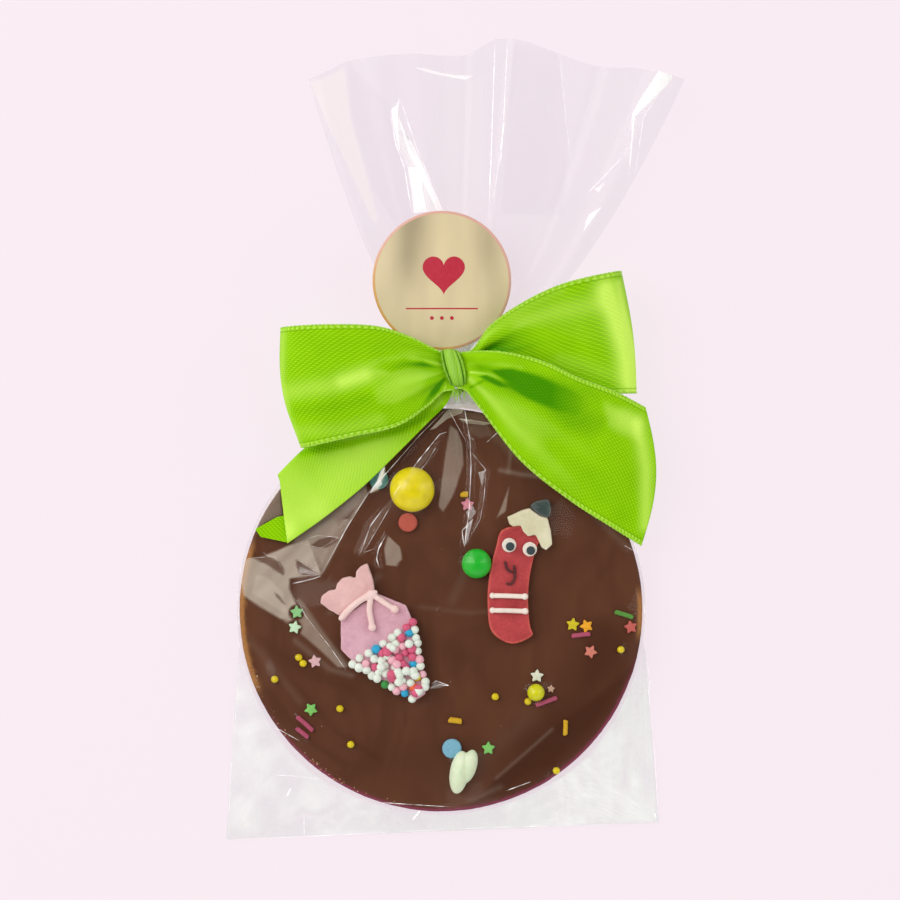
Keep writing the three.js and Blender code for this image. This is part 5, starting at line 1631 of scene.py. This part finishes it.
def makeFan():
    u, v = np.meshgrid(np.linspace(0, 1, fan["columns"]), np.linspace(0, 1, fan["rows"]), indexing="ij")
    x, y, z = fanPoint(u, v)
    flat = np.stack([x.ravel(), y.ravel(), np.zeros(x.size)], axis=1)
    crinkle = (grain(flat * (1, 0.35, 1), 5, 51) * 0.35 * v.ravel()).reshape(x.shape)
    for name, side, seed in (("film_fan_front", 1, 1), ("film_fan_back", -1, -1)):
        height = np.maximum(z + side * (fan["gap"] * (1 - v * 0.3)) + crinkle * seed, 0.25)
        points = np.stack([x, y, height], axis=2).reshape(-1, 3)
        piece = addPiece(name, points, gridFaces(fan["columns"], fan["rows"]), filmClear, "film")
        hazeAndGlare, shade = np.full(x.shape, 0.02), np.full(x.shape, 0.13)
        if side > 0:
            for outline, more, dull in fanAreas:
                inside = smoothStep(outlineDistance(x, y, onObject(outline)), 0, 0.8)
                hazeAndGlare += more * inside
                shade += dull * inside
        hazeAndGlare += 0.3 * (1 - smoothStep(v, 0.0, 0.18))
        addFilmLook(piece, np.clip(hazeAndGlare, 0, 0.9).ravel(), np.clip(shade, 0, 1).ravel(), 0.09)


# Creases and sealed edges that catch the light, drawn with painted glints, in picture pixels: points and
# width in millimetres
creases = [
    ([(463, 400), (470, 440), (471, 466), (469, 511), (464, 547)], 0.34), ([(472, 453), (486, 470),
     (478, 473)], 0.2), ([(486, 470), (484, 496), (480, 519), (464, 547)], 0.13), ([(299, 542), (318, 535),
     (339, 537), (321, 548), (299, 542)], 0.1), ([(296, 558), (321, 574), (298, 575)], 0.12), ([(242, 559),
     (251, 558), (275, 556), (284, 571)], 0.1), ([(263, 552), (270, 556)], 0.1), ([(464, 547), (462, 530),
     (474, 518)], 0.26), ([(446, 409), (419, 436), (400, 458), (384, 476), (368, 494), (348, 526),
     (322, 574)], 0.22), ([(448, 408), (457, 425), (466, 441)], 0.12), ([(457, 419), (478, 421.5),
     (494, 423)], 0.14), ([(466, 434), (474, 440)], 0.2), ([(447, 432), (440, 434), (419, 460), (411, 471)],
     0.4), ([(436, 447), (427, 462), (419, 472)], 0.2), ([(402, 483), (394, 495)], 0.22), ([(387, 504),
     (371, 525), (362, 550), (358, 556)], 0.26), ([(392, 504), (364, 552), (375, 548)], 0.16), ([(386, 535),
     (379, 548), (377, 558), (380, 567)], 0.42), ([(293, 583), (302, 581), (314, 578), (322, 575)], 0.3),
    ([(500, 430), (487, 442)], 0.3), ([(430, 686), (440, 683), (449, 684), (436, 679), (432, 682)], 0.22),
    ([(506, 790), (531, 781)], 0.3), ([(299, 600), (306, 615), (330, 645), (346, 668)], 0.18),
]
pouchGlints = [
    ([(622, 527), (631, 537), (640, 556), (643, 574)], 0.4), ([(644, 600), (646, 640)], 0.25), ([(624, 545),
     (636, 552)], 0.2), ([(240, 560), (238, 590), (239, 630)], 0.2), ([(226, 843), (300, 840), (380, 836),
     (480, 831), (600, 828), (660, 825)], 0.14), ([(226, 842), (229, 776), (236, 690), (240, 640)], 0.1),
    ([(660, 824), (657, 760), (650, 690), (645, 650)], 0.12), ([(648, 663), (652, 680), (650, 697)], 0.5),
    ([(286, 798), (291, 788)], 0.9), ([(412, 822), (420, 810)], 1.1), ([(437, 824), (443, 834)], 0.6),
    ([(230, 776), (290, 776), (330, 780)], 0.16), ([(303, 815), (303, 840)], 0.2), ([(655, 812),
     (658, 822)], 1.1), ([(380, 802), (430, 805), (450, 806)], 0.3), ([(262, 720), (300, 740)], 0.2),
]
fanGlints = [
    ([(495, 42), (493, 100), (491, 160), (489, 205)], 0.5), ([(507, 45), (504, 110), (500, 170)], 0.35),
    ([(657, 76), (633, 118), (630, 150), (628, 180)], 0.55), ([(628, 152), (600, 181), (583, 198)], 0.24),
    ([(600, 205), (583, 225)], 0.22), ([(390, 112), (396, 145), (405, 170), (412, 214)], 0.4), ([(400, 100),
     (417, 150), (443, 210)], 0.3), ([(671, 81), (669, 90)], 0.3), ([(505, 118), (499, 160), (493, 202)],
     0.3), ([(664, 84), (642, 120), (634, 178)], 0.24), ([(560, 54), (566, 110), (572, 160)], 0.14),
]


def pouchTop(x, y):
    # height of the pouch's front film over a place
    radius, turn = math.hypot(x, y), math.atan2(y, x)
    if radius < pouch["inside"]:
        over = filmOverDisc(np.array([x]), np.array([y]))
        return disc["face"] + pouch["gap"] + float(over[0])
    reach = float(pouchReach(np.array([turn]))[0])
    share = min((radius - pouch["inside"]) / max(reach - pouch["inside"], 0.1), 1)
    return pouch["hem"] + (pouch["shoulder"] - pouch["hem"]) * (1 - share) ** 1.3


def creaseForm(points, width, heightAt, steps=36):
    # a thin raised fold that tapers at its ends
    corners = np.array(onObject(points))
    reach = np.r_[0, np.cumsum(np.hypot(*np.diff(corners, axis=0).T))]
    places = np.linspace(0, reach[-1], steps)
    flat = zip(np.interp(places, reach, corners[:, 0]), np.interp(places, reach, corners[:, 1]))
    line = np.array([(x, y, heightAt(x, y) + 0.12) for x, y in flat])
    shares = np.linspace(0, 1, steps)
    uneven = 0.75 + 0.35 * np.sin(11 * shares + width * 40) * np.sin(5 * shares)
    radii = 0.42 * width * uneven * np.minimum(1, 0.15 + 5 * np.minimum(shares, 1 - shares))
    return tubeAlong(line, radii, 5)


def addCreases(name, lines, heightAt, strength):
    points, faces = joined([creaseForm(places, width, heightAt) for places, width in lines])
    piece = addPiece(name, points, faces, creaseGlintFilm, "film")
    broken = 0.5 + 0.5 * np.clip(2.6 * grain(points, 1.7, 61), -1, 1)
    addFilmLook(piece, strength * (0.12 + 0.88 * broken), 0, 1)


# Small flat facets of creased film that flash, drawn as painted glints, in picture pixels: outline, strength
fanFacets = [
    ([(400, 100), (397, 108), (391.5, 112), (393, 124), (396.5, 140), (401, 156), (399, 138), (398, 118)],
     0.55), ([(391.5, 112), (395, 109), (397, 116), (405, 134), (396, 132)], 0.2), ([(398, 117), (405, 134),
     (413, 146), (423.5, 168), (431, 184), (444, 211), (437, 211), (424, 184), (408, 152)], 0.5),
    ([(396, 134), (404, 139), (410, 153), (416, 167), (409, 170), (401, 156)], 0.12), ([(408, 169),
     (416, 168), (422, 170), (423, 190), (427, 212), (414, 214), (412, 192)], 0.5), ([(423, 170),
     (436, 197), (438, 212), (427, 212), (424, 190)], 0.2), ([(415, 70), (424, 69), (440, 71.5),
     (456, 72.5), (474, 73), (466, 76.5), (446, 74.5), (430, 73)], 0.5), ([(657, 74), (671, 79), (667, 87),
     (655, 97), (642, 109), (632, 121), (630.5, 117), (638, 103), (648, 88)], 0.6), ([(588, 216),
     (601, 208), (592, 220), (583, 232)], 0.5), ([(594, 190), (604, 184), (598, 193)], 0.3),
]
pouchFacets = [
    ([(384, 462), (385.5, 468), (381, 478), (383, 484), (376, 488), (371, 493), (373, 487), (378, 480),
     (381, 470)], 0.4), ([(466, 512), (472, 504), (476, 512), (470, 520)], 0.22), ([(466, 524), (473, 518),
     (468, 538), (464, 546)], 0.3), ([(478, 472), (485, 471), (482, 486)], 0.2), ([(300, 566), (320, 573),
     (300, 573)], 0.16), ([(435, 680), (449, 683), (440, 686), (430, 687)], 0.1),
]


def addFacets(name, facets, heightAt, material):
    parts, hazeAndGlare = [], []
    for outline, strength in facets:
        corners = np.array(onObject(outline))
        middle = corners.mean(axis=0)
        rings = [middle + (corners - middle) * share for share in (0.35, 0.7, 1.0)]
        flat = np.vstack([middle[None], *rings])
        points = [(x, y, heightAt(x, y) + 0.2) for x, y in flat]
        around = len(corners)
        faces = [(0, 1 + i, 1 + (i + 1) % around) for i in range(around)]
        for ring in (0, 1):
            low = 1 + ring * around
            faces += [(low + i, low + around + i, low + around + (i + 1) % around, low + (i + 1) % around)
                      for i in range(around)]
        parts.append((points, faces))
        hazeAndGlare += [strength] * len(flat)
    points, faces = joined(parts)
    piece = addPiece(name, points, faces, material, "film")
    addFilmLook(piece, np.array(hazeAndGlare) * (0.85 + 0.3 * grain(points, 3, 62)), 0, 0.3)


# The pouch's film bunched up below the knot: pale over the table, olive where it lies over the chocolate
bunchedFacets = [
    ([(447, 394), (458, 392), (470, 393), (476, 401), (484, 412), (474, 410), (463, 408), (452, 409),
     (446, 409)], 0.6), ([(441, 418), (447, 410), (456, 408), (464, 409), (462, 413), (454, 416),
     (447, 419), (436, 428), (430, 430)], 0.5), ([(458, 418), (470, 419), (480, 421), (494, 423),
     (484, 425), (466, 423)], 0.4),
]
bunchedFilm = castFilm("bunchedFilm", "#D8D0CC", ["#D8CEB4", "#D8CEB4"], 0.03)

print("neck, fan and creases")
makeNeck()
makeFan()
addCreases("film_creases", creases, pouchTop, 0.75)
addFacets("film_facets", pouchFacets, pouchTop, creaseGlintFilm)
addFacets("bunched_film", bunchedFacets, pouchTop, bunchedFilm)
addFacets("fan_facets", fanFacets, lambda x, y: fanHeight(x, y) + fan["gap"], creaseGlintFilm)
addCreases("pouch_glints", pouchGlints, pouchTop, 0.8)
addCreases("fan_glints", fanGlints, lambda x, y: fanHeight(x, y) + fan["gap"], 0.9)

# Tie wire round the neck
wire = {"y": 70.4, "radius": 0.5, "gap": 0.2}


def makeWire():
    turn = np.linspace(0, 2 * math.pi, 80)
    halfWide = neck["halfWide"] * 1.1 + wire["gap"] + wire["radius"]
    halfDeep = neck["halfDeep"] * 1.1 + wire["gap"] + wire["radius"]
    line = np.c_[neck["x"] + halfWide * np.cos(turn), wire["y"] + 0.15 * np.sin(3 * turn),
                 neck["z"] + halfDeep * np.sin(turn)]
    radii = wire["radius"] * (0.9 + 0.1 * np.cos(24 * turn))
    points, faces = tubeAlong(line, radii, 10)
    addPiece("tie_wire", points, faces, coveredWire(), "tie_wire", ["neck_tie"])


makeWire()

# Round label
label = {
    "x": 0.3, "y": 105.6, "z": 10.75, "radius": 22.2, "thick": 0.5, "lean": 0.028, "bow": 0.0022,
    "rim": 0.85,
    "heartWide": 13.5, "heartAt": (0.6, 2.6), "ruleHalf": 11.5, "ruleAt": -9.2, "ruleThick": 0.45,
    "dots": (-3.2, 0, 3.2), "dotAt": -12.0, "dot": 0.62,
}


def labelTop(x, y):
    return label["z"] + label["lean"] * y - label["bow"] * x**2 + label["thick"]


def makeLabel():
    radius = label["radius"]
    over = [radius * s for s in np.linspace(0.04, 0.955, 30)] + [radius - label["rim"],
                                                                 radius - label["rim"] + 0.05,
                                                                radius - 0.1, radius]
    profile = [(0, 0), (radius * 0.6, 0), (radius, 0), (radius, label["thick"] - 0.08)]
    profile += [(r, label["thick"]) for r in reversed(over[:-1])] + [(0, label["thick"])]
    points, faces = turnedForm(profile, 120)
    reach = np.hypot(points[:, 0], points[:, 1])
    x, y = points[:, 0].copy(), points[:, 1].copy()
    points[:, 2] += label["z"] + label["lean"] * y - label["bow"] * x**2
    piece = addPiece("label_sticker", points + (label["x"], label["y"], 0), faces, coatedPaper(),
                     "label_paper",
                     ["label"])
    leftBand = np.exp(-(((x + 12 - 0.15 * y) / 5.0) ** 2)) * smoothStep(y, -12, 10)
    rightBand = np.exp(-(((x - 14) / 4.0) ** 2)) * smoothStep(y, -8, 12)
    addNumbers(piece, "shading", 0.85 * leftBand + 0.48 * rightBand)
    addNumbers(piece, "golden", smoothStep(-x - y, 4, 26))
    addNumbers(piece, "rim", smoothStep(reach, radius - label["rim"], radius - label["rim"] + 0.04))


def printedShape(outline):
    # a flat inked shape just on the paper
    x, y = np.asarray(outline, float).T
    points = np.stack([x + label["x"], y + label["y"], labelTop(x, y) + 0.03], axis=1)
    middle = points.mean(axis=0)
    middle[2] = labelTop(middle[0] - label["x"], middle[1] - label["y"]) + 0.04
    count = len(points)
    faces = [(i, (i + 1) % count, count) for i in range(count)]
    return np.vstack([points, middle]), faces


def makePrint():
    turn = np.linspace(0, 2 * math.pi, 120, endpoint=False)
    heartX = 16 * np.sin(turn) ** 3
    heartY = 13 * np.cos(turn) - 5 * np.cos(2 * turn) - 2 * np.cos(3 * turn) - np.cos(4 * turn)
    scale = label["heartWide"] / 32
    heart = np.c_[heartX * scale + label["heartAt"][0], heartY * scale + label["heartAt"][1]][::-1]
    shapes = [printedShape(heart)]
    half, low, thick = label["ruleHalf"], label["ruleAt"], label["ruleThick"]
    for left in np.linspace(-half, half, 13)[:-1]:
        wide = 2 * half / 12
        shapes.append(printedShape([(left, low), (left + wide, low),
                                    (left + wide, low + thick), (left, low + thick)]))
    for x in label["dots"]:
        ring = np.c_[x + label["dot"] * np.cos(turn[::6]), label["dotAt"] + label["dot"] * np.sin(turn[::6])]
        shapes.append(printedShape(ring))
    points, faces = joined(shapes)
    addPiece("label_print", points, faces, printedInk(), "label_paper", smooth=False)


print("label")
makeLabel()
makePrint()

# Floor, light and camera

stage = {
    "floorSize": 6.0, "camera": (2.9 * mm, 51.4 * mm, 0.758), "frameWidth": 0.2889, "distance": 0.75,
    "sensor": 36,
    "lights": {
        # place, what it faces, width, height, power in watts
        "windowLeft": ((-0.6, 0.35, 0.75), (0, 0.05, 0), 0.6, 0.9, 6.2),
        "windowRight": ((0.85, 0.25, 0.75), (0, 0.05, 0), 0.4, 1.0, 2.3),
        "low": ((0.1, -0.95, 0.7), (0, 0.05, 0), 1.1, 0.35, 1.6),
    },
}


def makeStage():
    half = stage["floorSize"] / 2
    mesh = bpy.data.meshes.new("floor")
    mesh.from_pydata([(-half, -half, 0), (half, -half, 0), (half, half, 0), (-half, half, 0)], [],
                     [(0, 1, 2, 3)])
    mesh.materials.append(paleSweep())
    addObject("floor", mesh)


def makeLights():
    for name, (place, target, width, height, power) in stage["lights"].items():
        lamp = bpy.data.lights.new(name, "AREA")
        lamp.shape = "RECTANGLE"
        lamp.size = width
        lamp.size_y = height
        lamp.energy = power
        lamp.color = linear("#FFFAF6")[:3]
        holder = addObject(name, lamp)
        holder.location = place
        holder.rotation_euler = (Vector(target) - Vector(place)).to_track_quat("-Z", "Y").to_euler()


def makeWorld():
    # a studio tent: bright walls, dim straight overhead
    world = bpy.data.worlds.new("tent")
    world.use_nodes = True
    world.node_tree.nodes.clear()
    place = addNode(world, "TexCoord").outputs["Generated"]
    height = addNode(world, "SeparateXYZ", inputs={0: place})
    level = addNode(world, "MapRange", {"interpolation_type": "SMOOTHSTEP"}, {
        "Value": height.outputs["Z"], "From Min": 0.55, "From Max": 0.97, "To Min": 0.76, "To Max": 0.12})
    sky = addNode(world, "Background", inputs={"Color": linear("#FFFCFB"), "Strength": level})
    addNode(world, "OutputWorld", inputs={"Surface": sky})
    bpy.context.scene.world = world


def makeCamera():
    lens = bpy.data.cameras.new("camera")
    lens.sensor_width = stage["sensor"]
    lens.lens = stage["sensor"] * stage["distance"] / stage["frameWidth"]
    lens.clip_start = 0.01
    camera = addObject("camera", lens)
    camera.location = stage["camera"]
    bpy.context.scene.camera = camera


print("stage")
makeStage()
makeLights()
makeWorld()
makeCamera()
bpy.context.scene.view_settings.view_transform = "Standard"
